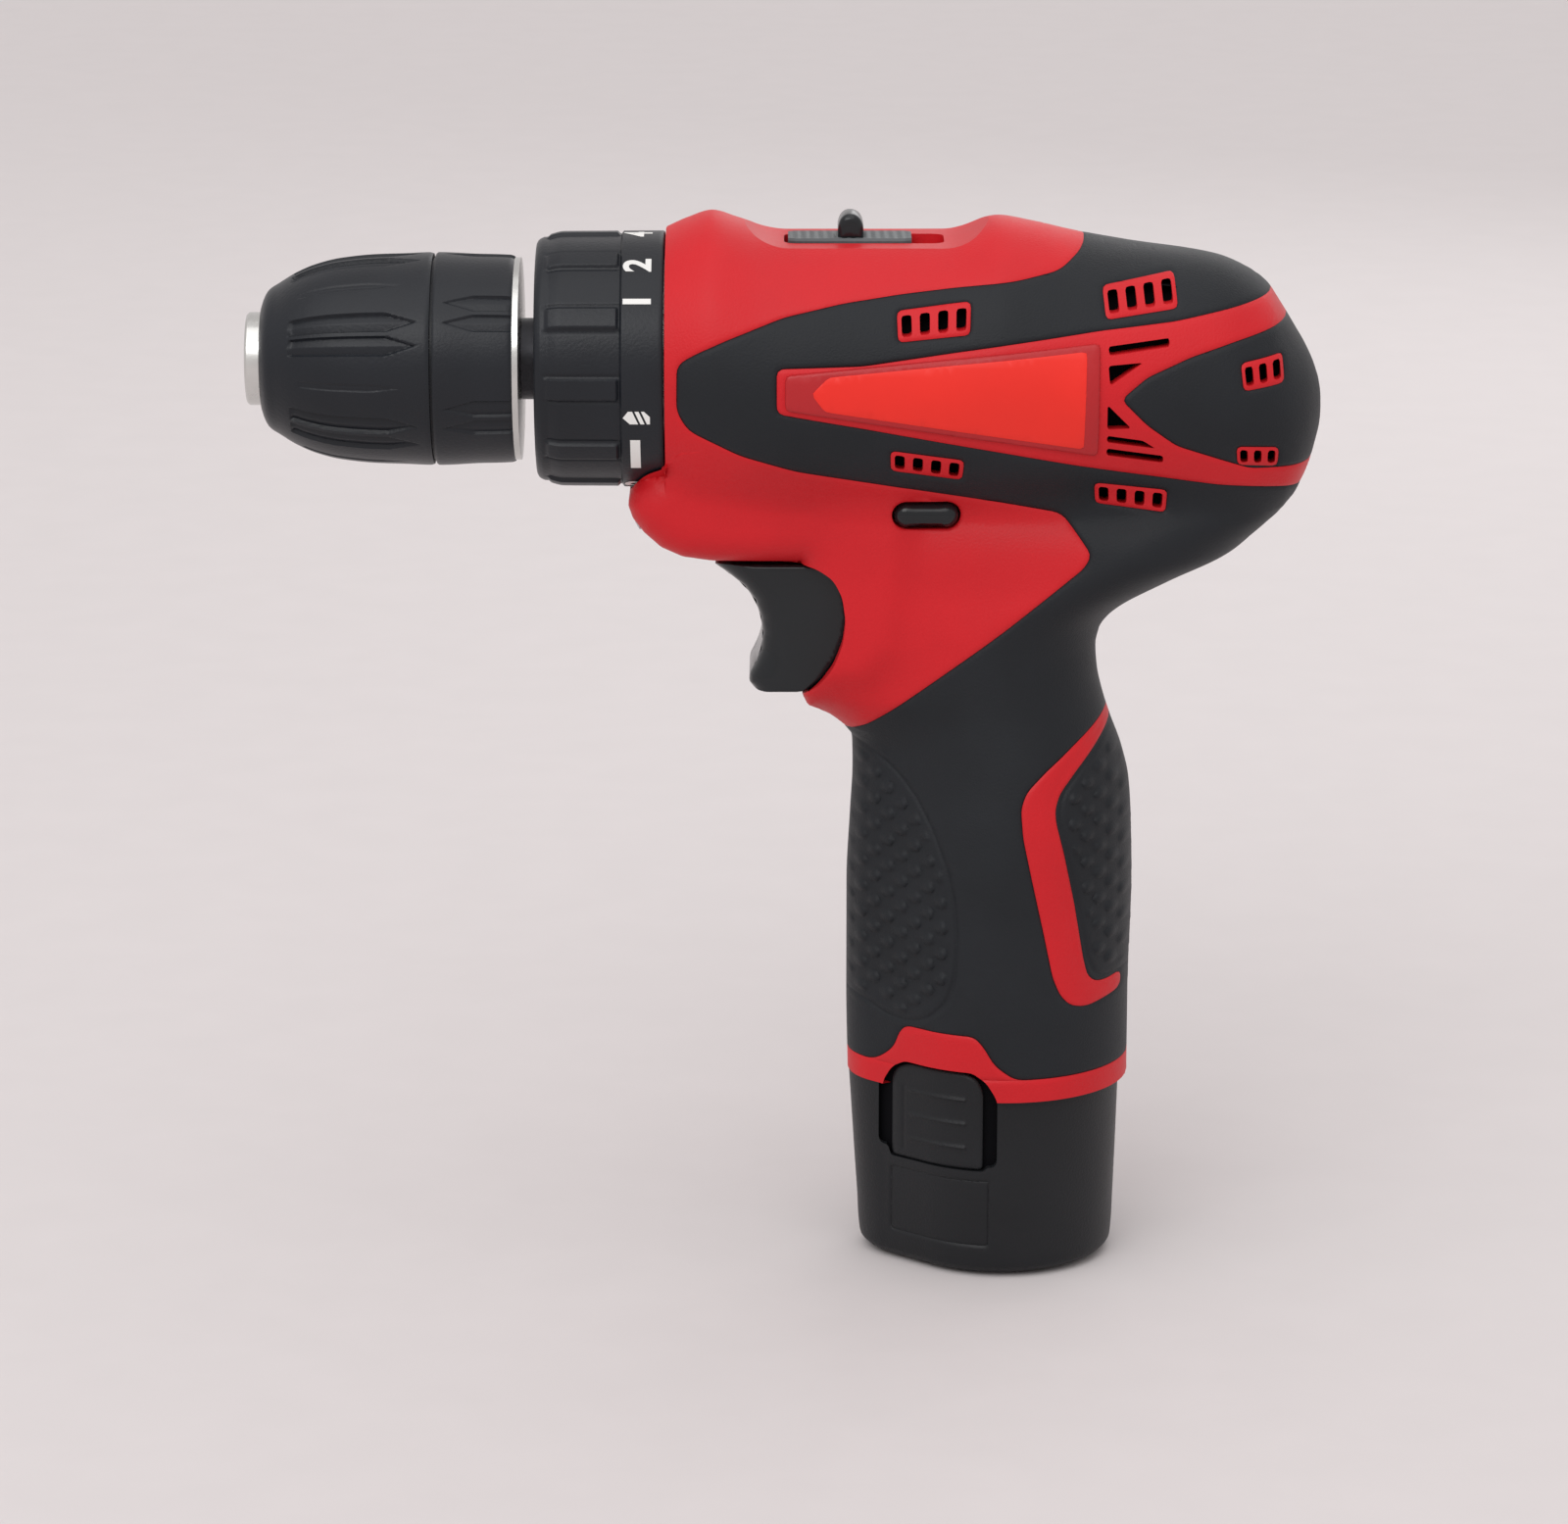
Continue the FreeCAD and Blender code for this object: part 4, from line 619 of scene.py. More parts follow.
def surface_offset(points, is_black):
    """How far the finished skin stands off the plain form: seams, soft edges and grip dots."""
    seam = np.full(len(points), 1e9)
    for name in ("band", "red_v", "rear_pad", "red_strip", "latch_arch"):
        seam = np.minimum(seam, line_distance(points, LINES[name]))
    for line in FRAME_LINES:
        seam = np.minimum(seam, line_distance(points, line))
    edge = np.clip(1 - seam / 0.9, 0, 1)
    offset = np.where(is_black, -0.42, -0.26) * edge**2.2
    for name in ("front_dots", "rear_dots"):
        groove = line_distance(points, LINES[name])
        offset -= 0.4 * np.exp(-((groove / 0.42) ** 2))
        offset -= 0.18 * np.exp(-(((groove - 1.7) / 0.35) ** 2)) * ~inside(points, LINES[name])
    button = line_distance(points, HOLE_LINES[-1])
    offset -= 0.3 * np.clip(1 - button / 0.6, 0, 1) ** 2
    return offset + raised_dots(points)


def colour_of(points):
    """True where the soft black grip covers the shell."""
    black = inside(points, LINES["band"]) & ~inside(points, LINES["red_v"])
    black |= inside(points, LINES["rear_pad"])
    black &= ~inside(points, LINES["red_strip"]) & ~inside(points, LINES["latch_arch"])
    for line in FRAME_LINES:
        black &= ~inside(points, line)
    return black

# %% [markdown]
# Thickness. Each open edge of a skin gets a wall towards the inside, so the vents, the trigger's opening
# and the latch openings show how thick the moulding is.

# %% Walls behind the open edges


def by_mouth(x, z):
    return -57.2 < z < -33.4 and 60 < x < 103.3


def by_chin_rim(x, z):
    return -66 < z < -22.5 and x < 104


def skirt_target(point):
    """Where the wall behind an open edge ends, so the shell shows its thickness."""
    x, y, z = point
    if abs(x - 72.2) < 0.25 and z > -22.6:
        return (x, y * 0.8, z * 0.8)
    if x < 72.2 and z > -23.4:
        return (x, math.sqrt(max(0.0, COLLAR_ROOM**2 - z * z)), z)
    if z < -127.2:
        return (128 + (x - 128) * 0.9, y * 0.9, z)
    if 20.0 < z < TOP(x) - 0.05 and 84 < x < 129:
        return (x, y, z - 0.8)
    if by_mouth(x, z):
        return (x, 11.9 if y > 11.9 else y * 0.3, z)
    if y < 12 or by_chin_rim(x, z):
        return (x, 0.0, z)
    return (x, y - 3.2, z)


SADDLE_CUT = [
    (80.0, 40), (84.6, 24.9), (87.6, 22.2), (91.4, 20.9), (121.2, 20.9), (124.4, 22.0), (128.4, 25.2),
    (133.0, 40),
]
SADDLE_LINE = rounded_outline(SADDLE_CUT, 0.8, 2.0)

# %% [markdown]
# Now both sides. Triangles inside the grip outlines become black rubber, the rest red plastic. The right
# side also has the holes that the housing screws sit in.

# %% Shell and grip of each side


def side_skin(side):
    """The red shell and the black grip of one side: side -1 is left, +1 is right."""
    openings = HOLE_LINES + [MOUTH_LINE, LATCH_LINE, SADDLE_LINE]
    if side > 0:
        openings = openings + [circle_outline(3.3, x, z) for x, z in SCREW_SPOTS]
    rims = [BARREL_LINE, HANDLE_LINE, CHIN_LINE]
    edges = [*LINES.values(), *FRAME_LINES]
    points, triangles = triangulate(rims, edges, openings, MOUTH_LINE)
    centres = points[triangles].mean(axis=1)
    solid = body_height(centres) > 0.05
    for line in openings:
        solid &= ~inside(centres, line)
    triangles, centres = triangles[solid], centres[solid]
    black = colour_of(centres)
    height = body_height(points)
    pieces = []
    for is_black, name in ((False, "red_shell"), (True, "black_grip")):
        chosen = triangles[black == is_black]
        used = np.unique(chosen)
        lookup = np.full(len(points), -1)
        lookup[used] = np.arange(len(used))
        flat = points[used]
        out = height[used] + np.where(height[used] > 1.0, surface_offset(flat, is_black), 0)
        out = np.clip(out, 0, 26.2)
        mesh = bmesh.new()
        verts = [mesh.verts.new((x * MM, side * y * MM, z * MM)) for (x, z), y in zip(flat, out)]
        for a, b, c in lookup[chosen]:
            order = (a, b, c) if side > 0 else (a, c, b)
            mesh.faces.new([verts[k] for k in order])
        mesh.verts.ensure_lookup_table()
        add_skirt(mesh, side, skirt_target)
        bmesh.ops.recalc_face_normals(mesh, faces=mesh.faces)
        word = "left" if side < 0 else "right"
        pieces.append(new_piece(f"{word}_{name}", mesh, black_grip if is_black else red_shell))
    return pieces


def add_skirt(mesh, side, target):
    """Walls from every open edge to where the target function says they end."""
    rim = [edge for edge in mesh.edges if edge.is_boundary]
    inner = {}
    for edge in rim:
        for vert in edge.verts:
            if vert not in inner:
                x, y, z = vert.co / MM
                tx, ty, tz = target((x, abs(y), z))
                inner[vert] = mesh.verts.new((tx * MM, side * ty * MM, tz * MM))
    for edge in rim:
        a, b = edge.verts
        if (inner[a].co - a.co).length + (inner[b].co - b.co).length > 0.02 * MM:
            mesh.faces.new((a, b, inner[b], inner[a]))


def new_piece(name, mesh, material, smooth_angle=40):
    """Finish a bmesh as an object with one material and smooth shading below the angle."""
    bmesh.ops.remove_doubles(mesh, verts=mesh.verts, dist=0.002 * MM)
    bmesh.ops.dissolve_degenerate(mesh, edges=mesh.edges, dist=0.001 * MM)
    data = bpy.data.meshes.new(name)
    mesh.to_mesh(data)
    mesh.free()
    piece = bpy.data.objects.new(name, data)
    bpy.context.scene.collection.objects.link(piece)
    data.materials.append(material)
    data.shade_smooth()
    data.set_sharp_from_angle(angle=math.radians(smooth_angle))
    return piece


left_red, left_black = side_skin(-1)
right_red, right_black = side_skin(1)
for piece, nodes, slot_name in (
    (left_red, ["left_housing"], "red_shell"), (right_red, ["right_housing"], "red_shell"),
    (left_black, ["left_grip"], "black_grip"), (right_black, ["right_grip"], "black_grip"),
):
    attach(piece, "housing")
    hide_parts(*nodes)
    print(piece.name, "faces:", len(piece.data.polygons))

# %% [markdown]
# The saddle on top is a shallow flat cut across the barrel, where the thumb pushes the speed selector. Its
# floor follows the same cut line that was taken out of the shells, so the two meet along both edges, and a
# round-ended slot through it lets the selector slide.

# %% Saddle floor with its slot


def pillow(name, outline, half_width, rounding, material, soft_line=None, soft_radius=1.0):
    """A solid with this side outline and rounded edges; beside soft_line they get the larger soft_radius."""
    line = np.array(outline, float)
    rings = [0.04 * rounding, 0.15 * rounding, 0.35 * rounding, 0.65 * rounding, rounding]
    low, high = line.min(axis=0), line.max(axis=0)
    loose = np.vstack([offset_rings(line, rings), grid_points(1.1, low[0], high[0], low[1], high[1])])
    deep = line_distance(loose, line)
    loose = loose[inside(loose, line) & (deep > 0.03 * rounding)]
    flat, faces = flat_triangles(np.vstack([line, loose]), closed_segments(line), 1)
    distance = np.clip(line_distance(flat, line), 0, rounding)
    height = half_width - rounding + np.sqrt(np.clip(rounding**2 - (rounding - distance) ** 2, 0, None))
    if soft_line is not None:
        near = np.clip(line_distance(flat, np.array(soft_line, float), closed=False), 0, soft_radius)
        rounded = half_width - soft_radius + np.sqrt(soft_radius**2 - (soft_radius - near) ** 2)
        height = np.minimum(height, rounded)
    mesh = bmesh.new()
    layers = []
    for side in (-1, 1):
        layers.append([
            mesh.verts.new((x * MM, side * y * MM, z * MM)) for (x, z), y in zip(flat, height)
        ])
        for face in faces:
            mesh.faces.new([layers[-1][k] for k in face])
    for edge in [e for e in mesh.edges if e.is_boundary]:
        a, b = edge.verts
        if a in layers[0] and b in layers[0]:
            mesh.faces.new((a, b, layers[1][layers[0].index(b)], layers[1][layers[0].index(a)]))
    bmesh.ops.recalc_face_normals(mesh, faces=mesh.faces)
    return new_piece(name, mesh, material)

# %% [markdown]
# The floor runs from where the cut line comes out of the barrel's top in front to where it does behind.

# %% Saddle floor


SLOT_FRONT, SLOT_REAR, SLOT_HALF, SLOT_DEPTH = 92.4, 119.8, 5.0, 2.8


def top_crossing(below, above):
    """Where the cut line comes out through the barrel's top line."""
    under, over = below[1] - TOP(below[0]), above[1] - TOP(above[0])
    return below + (above - below) * under / (under - over)


cut_line = SADDLE_LINE[(SADDLE_LINE[:, 0] > 83) & (SADDLE_LINE[:, 0] < 131) & (SADDLE_LINE[:, 1] < 30)]
cut_line = cut_line[np.argsort(cut_line[:, 0])]
first, *_, last = np.flatnonzero(cut_line[:, 1] < TOP(cut_line[:, 0]))
saddle_path = np.vstack([
    top_crossing(cut_line[first], cut_line[first - 1]), cut_line[first : last + 1],
    top_crossing(cut_line[last], cut_line[last + 1]),
])
saddle_edge = body_height(saddle_path)
saddle_edge[[0, -1]] = 0.02
slot_line = rounded_outline([
    (SLOT_FRONT, -SLOT_HALF), (SLOT_REAR, -SLOT_HALF), (SLOT_REAR, SLOT_HALF), (SLOT_FRONT, SLOT_HALF),
], 0.6, 2.2)
floor_outline = np.vstack([
    np.column_stack([saddle_path[:, 0], saddle_edge]),
    np.column_stack([saddle_path[::-1, 0], -saddle_edge[::-1]]),
])
flat_points = np.vstack([floor_outline, slot_line, grid_points(1.5, 85, 128, -12, 12)])
flat, faces = flat_triangles(flat_points, closed_segments(floor_outline, slot_line))
centres = flat[faces].mean(axis=1)
faces = faces[inside(centres, floor_outline) & ~inside(centres, slot_line)]
mesh = bmesh.new()
heights = np.interp(flat[:, 0], saddle_path[:, 0], saddle_path[:, 1])
corners = [mesh.verts.new((x * MM, y * MM, z * MM)) for (x, y), z in zip(flat, heights)]
for face in faces:
    mesh.faces.new([corners[k] for k in face])
for edge in [e for e in mesh.edges if e.is_boundary]:
    a, b = edge.verts
    middle = (a.co + b.co) / 2 / MM
    if inside(np.array([[middle.x, middle.y * 0.97]]), slot_line)[0] or line_distance(
        np.array([[middle.x, middle.y]]), slot_line
    )[0] < 0.1:
        lower = [mesh.verts.new(v.co - Vector((0, 0, SLOT_DEPTH * MM))) for v in (a, b)]
        mesh.faces.new((b, a, lower[0], lower[1]))
bmesh.ops.delete(mesh, geom=[v for v in mesh.verts if not v.link_faces], context="VERTS")
bmesh.ops.recalc_face_normals(mesh, faces=mesh.faces)
saddle = new_piece("saddle_floor", mesh, red_shell)
if saddle.data.polygons[0].normal.z < 0:
    saddle.data.flip_normals()
BED = [(92.0, 17.6), (120.2, 17.6), (120.2, 18.4), (92.0, 18.4)]
slot_bed = pillow("slot_bed", BED, 5.2, 0.2, red_shell)
for piece in (saddle, slot_bed):
    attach(piece, "housing")
    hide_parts("left_housing")
print("saddle floor:", len(saddle.data.polygons), "faces")

# %% [markdown]
# The speed selector: a grey plate with a moulded wave texture and a black fin that the thumb meets.

# %% Speed selector
PLATE_FRONT, PLATE_REAR, PLATE_HALF, PLATE_TOP = 93.1, 114.2, 4.5, 21.6


def wavy_plate():
    """The grey plate, its top covered by small rounded ridges across the slide."""
    steps = np.linspace(PLATE_FRONT, PLATE_REAR, 120)
    mesh = bmesh.new()
    rows = []
    for x in steps:
        end = min(x - PLATE_FRONT, PLATE_REAR - x)
        half = PLATE_HALF - max(0, 1.2 - end) * 0.6
        ridge = 0.14 * math.sin(x * 4.2) * min(1, end / 1.5)
        across = (-half, -half, -half + 0.4, -half * 0.5, 0, half * 0.5, half - 0.4, half, half)
        up = (-1.6, -0.4, 0, ridge, ridge, ridge, 0, -0.4, -1.6)
        rows.append([mesh.verts.new((x * MM, y * MM, (PLATE_TOP + z) * MM)) for y, z in zip(across, up)])
    for first, second in zip(rows, rows[1:]):
        for k in range(8):
            mesh.faces.new((first[k], second[k], second[k + 1], first[k + 1]))
    mesh.faces.new(rows[0])
    mesh.faces.new(rows[-1][::-1])
    bmesh.ops.recalc_face_normals(mesh, faces=mesh.faces)
    return new_piece("selector_plate", mesh, selector_grey)


plate = wavy_plate()
FIN = [
    (101.6, 21.0), (101.6, 23.6), (102.1, 24.9), (103.0, 25.6), (104.3, 25.65), (105.4, 25.0),
    (106.0, 23.6), (106.0, 21.0),
]
fin = pillow("selector_fin", rounded_outline(FIN, 0.35, 0.7), 3.6, 1.1, gloss_black)
for piece in (plate, fin):
    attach(piece, "speed_selector")
    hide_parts("speed_selector")

# %% [markdown]
# Trigger and direction button. Both are smooth polished mouldings with generous edge radii, because fingers
# rest on them. A pillow with their side outline gives just that: flat cheeks and rounded edges.

# %% Trigger and direction button
TRIGGER = [
    (79.8, -34.0), (82.7, -36.0), (85.5, -38.3), (87.4, -40.9), (88.4, -43.9), (88.7, -46.7),
    (88.4, -49.5), (87.4, -52.0), (86.5, -53.7), (86.3, -55.2), (87.3, -56.5), (96.2, -56.5),
    (99.2, -54.0), (101.8, -50.2), (103.2, -46.5), (103.6, -42.5), (102.8, -38.0), (101.0, -35.2),
    (98.0, -34.0),
]
FINGER_EDGE = TRIGGER[:11]
trigger_line = rounded_outline(TRIGGER, 0.5, 2.0)
trigger = pillow("trigger_shell", trigger_line, 11.5, 0.7, gloss_black, FINGER_EDGE, 4.5)
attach(trigger, "trigger")
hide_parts("trigger")

button_reach = float(body_height(np.array([[BUTTON_X, BUTTON_Z]]))[0]) + 1.7
button_line = pill_outline(11.2, 4.5, BUTTON_X, BUTTON_Z)
button = pillow("direction_button_caps", button_line, button_reach, 2.0, gloss_black)
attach(button, "direction_button")
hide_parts("direction_button")
print("button stands out to", round(button_reach, 1))

# %% [markdown]
# The badge: a thin plate of deeper red glued on each flank, with a brighter printed label on it. Both are cut
# from the side view like the shell and laid on its height, a little further out each.

# %% Badge plates and labels


def laid_plate(name, outline, side, rise, rounding, material):
    """A thin plate that follows the shell and stands out by the given rise."""
    line = np.array(outline)
    low, high = line.min(axis=0), line.max(axis=0)
    loose = np.vstack([
        offset_rings(line, (0.1 * rounding, 0.35 * rounding, rounding)),
        grid_points(1.6, low[0], high[0], low[1], high[1]),
    ])
    loose = loose[inside(loose, line) & (line_distance(loose, line) > 0.05 * rounding)]
    flat, faces = flat_triangles(np.vstack([line, loose]), closed_segments(line), 1)
    distance = np.clip(line_distance(flat, line), 0, rounding)
    out = body_height(flat) + rise - rounding + np.sqrt(rounding**2 - (rounding - distance) ** 2)
    out = np.minimum(out, 27.0 - 0.12 * (material is badge_plate))
    mesh = bmesh.new()
    top = [mesh.verts.new((x * MM, side * y * MM, z * MM)) for (x, z), y in zip(flat, out)]
    for face in faces:
        mesh.faces.new([top[k] for k in face])
    for edge in [e for e in mesh.edges if e.is_boundary]:
        a, b = edge.verts
        lower = [mesh.verts.new((v.co.x, v.co.y - side * (rise + 0.1) * MM, v.co.z)) for v in (a, b)]
        mesh.faces.new((a, b, lower[1], lower[0]))
    bmesh.ops.recalc_face_normals(mesh, faces=mesh.faces)
    piece = new_piece(name, mesh, material)
    if piece.data.polygons[0].normal.y * side < 0:
        piece.data.flip_normals()
    return piece


for side, word in ((-1, "left"), (1, "right")):
    for part, outline, rise, rounding, paint in (
        ("badge", rounded_outline(BADGE, 0.8, 0.9), 0.8, 0.4, badge_plate),
        ("label", rounded_outline(STICKER, 0.8, 0.7), 0.9, 0.1, badge_sticker),
    ):
        piece = laid_plate(f"{word}_{part}_plate", outline, side, rise, rounding, paint)
        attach(piece, "housing")
        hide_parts(f"{word}_badge")
print("widest point of badges:", round(max(abs(v.co.y) for v in piece.data.vertices) / MM, 2))

# %% [markdown]
# The keyless chuck and the clutch collar are turned shapes with grip patterns. Each is a grid of rings: the
# profile gives the radius along the axis and a pattern function takes a little off, which makes flutes on the
# chuck sleeves and leaves ribs on the collar.

# %% Turned sleeves with flutes and ribs


def turned_grid(name, profile, stations, around, pattern, material, inner):
    """A ring wall: outside radius from the profile less the pattern, closed to the inner radius."""
    mesh = bmesh.new()
    turns = 2 * np.pi * np.arange(around) / around
    rings = [(x, profile(x) - pattern(np.full(around, x), turns)) for x in stations]
    rings += [(x, np.full(around, inner)) for x in (stations[-1], stations[0])]
    rows = [
        [mesh.verts.new((x * MM, -r * math.cos(t) * MM, r * math.sin(t) * MM)) for r, t in zip(radius, turns)]
        for x, radius in rings
    ]
    for first, second in zip(rows, rows[1:] + rows[:1]):
        for k in range(around):
            n = (k + 1) % around
            mesh.faces.new((first[k], first[n], second[n], second[k]))
    bmesh.ops.recalc_face_normals(mesh, faces=mesh.faces)
    return new_piece(name, mesh, material, smooth_angle=35)


def flute(x, turns, centre, half_angle, depth, blunt_end, point_end):
    """A flat-bottomed groove along the axis, square at one end and pointed at the other."""
    away = np.abs((turns - centre + np.pi) % (2 * np.pi) - np.pi)
    length = abs(point_end - blunt_end)
    share = np.clip((x - blunt_end) / (point_end - blunt_end), 0, 1)
    width = half_angle * np.clip((1 - share) * length / 5.5, 0, 1)
    edge = np.clip((width - away) / math.radians(0.9), 0, 1)
    start = np.clip(np.abs(x - blunt_end) / 0.7, 0, 1) * (share > 0)
    slant = 0.55 + 0.45 * np.clip(away / max(half_angle, 1e-6), 0, 1)
    return depth * edge * start * slant

# %% [markdown]
# Both sleeves carry six pairs of flutes, and the front one has a slim flute between the pairs.

# %% Chuck sleeves


FLUTE_PAIRS, FIRST_FLUTE = 6, 24
sleeve_line = smooth_line([
    (2.6, 9.2), (3.0, 10.4), (3.7, 11.7), (5.7, 13.1), (8.5, 14.8), (11.9, 16.25), (16.1, 17.3),
    (22.3, 17.95), (27.4, 18.12), (31.6, 18.28), (32.2, 18.1),
])
rear_line = smooth_line([
    (32.25, 17.3), (32.66, 17.31), (32.72, 18.1), (33.1, 18.3), (39.4, 18.05), (45.6, 17.85), (46.2, 17.6),
])


def paired_flutes(x, turns, turned, apart, half_angle, *shape):
    """Pairs of flutes evenly round a sleeve, the angles in degrees."""
    cut = np.zeros(len(turns))
    for k in range(FLUTE_PAIRS):
        middle = FIRST_FLUTE + turned + 360 / FLUTE_PAIRS * k
        for side in (-1, 1):
            centre = math.radians(middle + side * apart)
            cut = np.maximum(cut, flute(x, turns, centre, math.radians(half_angle), *shape))
    return cut


def front_pattern(x, turns):
    """Wide flutes in pairs, and a slim one between the pairs."""
    slim = paired_flutes(x, turns, 30, 0, 2.2, 0.28, 9.5, 28.0)
    return np.maximum(slim, paired_flutes(x, turns, 0, 6.6, 5.6, 0.75, 8.0, 30.3))


def rear_pattern(x, turns):
    return paired_flutes(x, turns, 12, 6.0, 5.0, 0.5, 46.9, 34.2)


AROUND = 720
front_stations = np.concatenate([
    np.linspace(2.6, 8.0, 16), np.linspace(8.2, 30.4, 64), np.linspace(30.9, 32.2, 5),
])
front_sleeve = turned_grid(
    "front_sleeve_skin", sleeve_line, front_stations, AROUND, front_pattern, chuck_black, 9.0)
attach(front_sleeve, "chuck_sleeve")
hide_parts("front_sleeve")
rear_stations = np.concatenate([
    [32.25, 32.66, 32.72, 33.0], np.linspace(33.3, 34.0, 3), np.linspace(34.3, 46.2, 36),
])
rear_sleeve = turned_grid(
    "rear_sleeve_skin", rear_line, rear_stations, AROUND, rear_pattern, chuck_black, 15.0)
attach(rear_sleeve, "spindle")
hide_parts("rear_sleeve")

# %% [markdown]
# The clutch collar: eleven raised ribs in front for the fingers, and a smooth band behind them with the
# torque numbers printed in white. Turning it squeezes the clutch spring.

# %% Clutch collar
RIBS = 11
RIB_AT = math.radians(29)
collar_line = smooth_line([
    (50.0, 19.9), (50.3, 20.4), (51.2, 20.9), (53.0, 21.6), (54.5, 21.9), (60.0, 21.95), (71.7, 22.0),
    (71.95, 21.85),
])


def rib_pattern(x, turns):
    spacing = 2 * np.pi / RIBS
    away = np.abs((turns - RIB_AT + spacing / 2) % spacing - spacing / 2) * 22
    along = np.clip((x - 51.2) / 1.2, 0, 1) * np.clip((64.9 - x) / 0.35, 0, 1)
    inner = np.clip((x - 51.8) / 0.5, 0, 1) * np.clip((64.4 - x) / 0.5, 0, 1)
    rib = np.clip((2.0 - away) / 0.35, 0, 1) * inner
    groove = np.exp(-(((away - 2.35) / 0.3) ** 2)) * 0.2
    return along * (0.5 - 0.5 * rib + groove)


collar_stations = np.concatenate([
    np.linspace(50, 51.2, 6), np.linspace(51.4, 54.6, 14), np.linspace(55.2, 63.6, 10),
    np.linspace(63.9, 65.3, 12), np.linspace(65.8, 71.0, 6), [71.7, 71.95],
])
collar = turned_grid("clutch_collar_skin", collar_line, collar_stations, 660, rib_pattern, chuck_black, 18.5)
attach(collar, "clutch_collar")
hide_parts("clutch_collar")
print("collar ribs:", RIBS)

# %% [markdown]
# The printed marks: numbers 1 to 18 in steps of two, a drill for full torque and a plain bar. The digits are
# strokes of the built-in font, bent round the collar and lifted by the thickness of the paint.

# %% Printed marks on the collar
MARK_BASE, MARK_RADIUS = 69.7, 22.05


def wrap(mesh, angle):
    """Bend flat artwork, x along the print and y up the digits, round the collar."""
    for step in np.arange(-4.5, 4.6, 0.5):
        geometry = [*mesh.verts, *mesh.edges, *mesh.faces]
        bmesh.ops.bisect_plane(mesh, geom=geometry, plane_co=(step, 0, 0), plane_no=(1, 0, 0))
    for vert in mesh.verts:
        along, up = vert.co.x, vert.co.y
        turn = angle + along / 22.0
        x = MARK_BASE - up
        vert.co = Vector((x, -MARK_RADIUS * math.cos(turn), MARK_RADIUS * math.sin(turn))) * MM


def printed_number(text, angle):
    curve = bpy.data.curves.new("number", "FONT")
    curve.body = text
    curve.align_x = "CENTER"
    curve.size = 6.4
    curve.offset = 0.2
    curve.resolution_u = 6
    carrier = bpy.data.objects.new("number", curve)
    mesh = bmesh.new()
    mesh.from_mesh(carrier.to_mesh())
    bmesh.ops.triangulate(mesh, faces=mesh.faces)
    wrap(mesh, angle)
    bpy.data.objects.remove(carrier)
    return mesh


def printed_shape(corner_sets, angle):
    mesh = bmesh.new()
    for corners in corner_sets:
        mesh.faces.new([mesh.verts.new((x, y, 0)) for x, y in corners])
    wrap(mesh, angle)
    return mesh


marks = [(printed_number("1", math.radians(36.5)), "mark_1")]
for number in range(2, 20, 2):
    angle = math.radians(56.5 + 14.6 * (number - 2))
    marks.append((printed_number(str(number), angle), f"mark_{number}"))
DRILL = [
    [(-1.2, 0.0), (0.2, 0.0), (1.2, 1.0), (1.2, 1.5), (-1.2, 0.5)],
    [(-1.2, 0.9), (1.2, 1.9), (1.2, 2.6), (-1.2, 1.6)],
    [(-1.2, 2.0), (1.2, 3.0), (1.2, 3.7), (0.0, 4.6), (-1.2, 3.4)],
]
marks.append((printed_shape(DRILL, math.radians(-16.5)), "mark_drill"))
BAR = [(-3.6, 1.7), (0, 1.7), (3.6, 1.7), (3.6, 3.4), (0, 3.4), (-3.6, 3.4)]
marks.append((printed_shape([BAR], math.radians(-37.5)), "mark_bar"))
for mesh, name in marks:
    bmesh.ops.recalc_face_normals(mesh, faces=mesh.faces)
    mark = new_piece(name, mesh, print_white)
    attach(mark, "clutch_collar")
    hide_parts("clutch_collar")
print("printed marks:", len(marks))

# %% [markdown]
# Behind the vents the motor's room lies in shade. A near-black matt screen a little inside each shell paints
# that shade, and stops light from shining straight through the tool.

# %% Painted-shade screens behind the vents
SHADE_SCREEN = [
    (104, 16), (128, 18.5), (163, 14.5), (177, 5), (178.5, -12), (174, -20), (158, -24.5), (104, -19),
]
for side, word in ((-1, "left"), (1, "right")):
    shade_screen_line = rounded_outline(SHADE_SCREEN, 1.0, 3.0)
    # Each screen is painted shade: a near-black sheet where the motor's room would only be in shadow.
    shade_screen = laid_plate(f"{word}_vent_shade_screen", shade_screen_line, side, -4.0, 0.1, painted_shade_black)
    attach(shade_screen, "housing")
    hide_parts(f"{word}_housing")

# %% [markdown]
# The battery: a pack with an egg-shaped section, a rounded foot, and a springy latch tab on each side. Its
# visible part is written the same way as the shells: a height over the side view, with the rooms beside each
# latch, the label panel's edge and the joint line pressed in.

# %% Battery skin
PACK_FRONT = smooth_line([
    (-160, 108.5), (-159.4, 107.2), (-158, 106.0), (-150, 105.4), (-127.4, 103.9),
])
PACK_REAR = smooth_line([
    (-160, 148.0), (-159.4, 149.5), (-158, 150.6), (-150, 151.0), (-127.4, 151.7),
])
PACK_HALF = smooth_line([
    (-160, 17.6), (-159.4, 18.9), (-158, 19.8), (-150, 20.3), (-127.4, 21.1),
])
PACK_CORNER = smooth_line([
    (-160, 10.0), (-158, 11.0), (-127.4, 11.6),
])
TAB = [
    (111.5, -140.4), (111.5, -126.0), (112.4, -123.9), (114.4, -122.9), (124.2, -122.9),
    (126.2, -123.9), (127.1, -126.0), (127.1, -140.4),
]
PANEL = [
    (111.3, -142.4), (128.2, -142.4), (128.2, -154.6), (111.3, -154.6),
]
PANEL_LINE = rounded_outline(PANEL, 0.7, 0.4)
TAB_LINE = rounded_outline(TAB, 0.6, 0.8)
JOINT_LINE = np.array([(110.0, -141), (110.4, -160)], float)


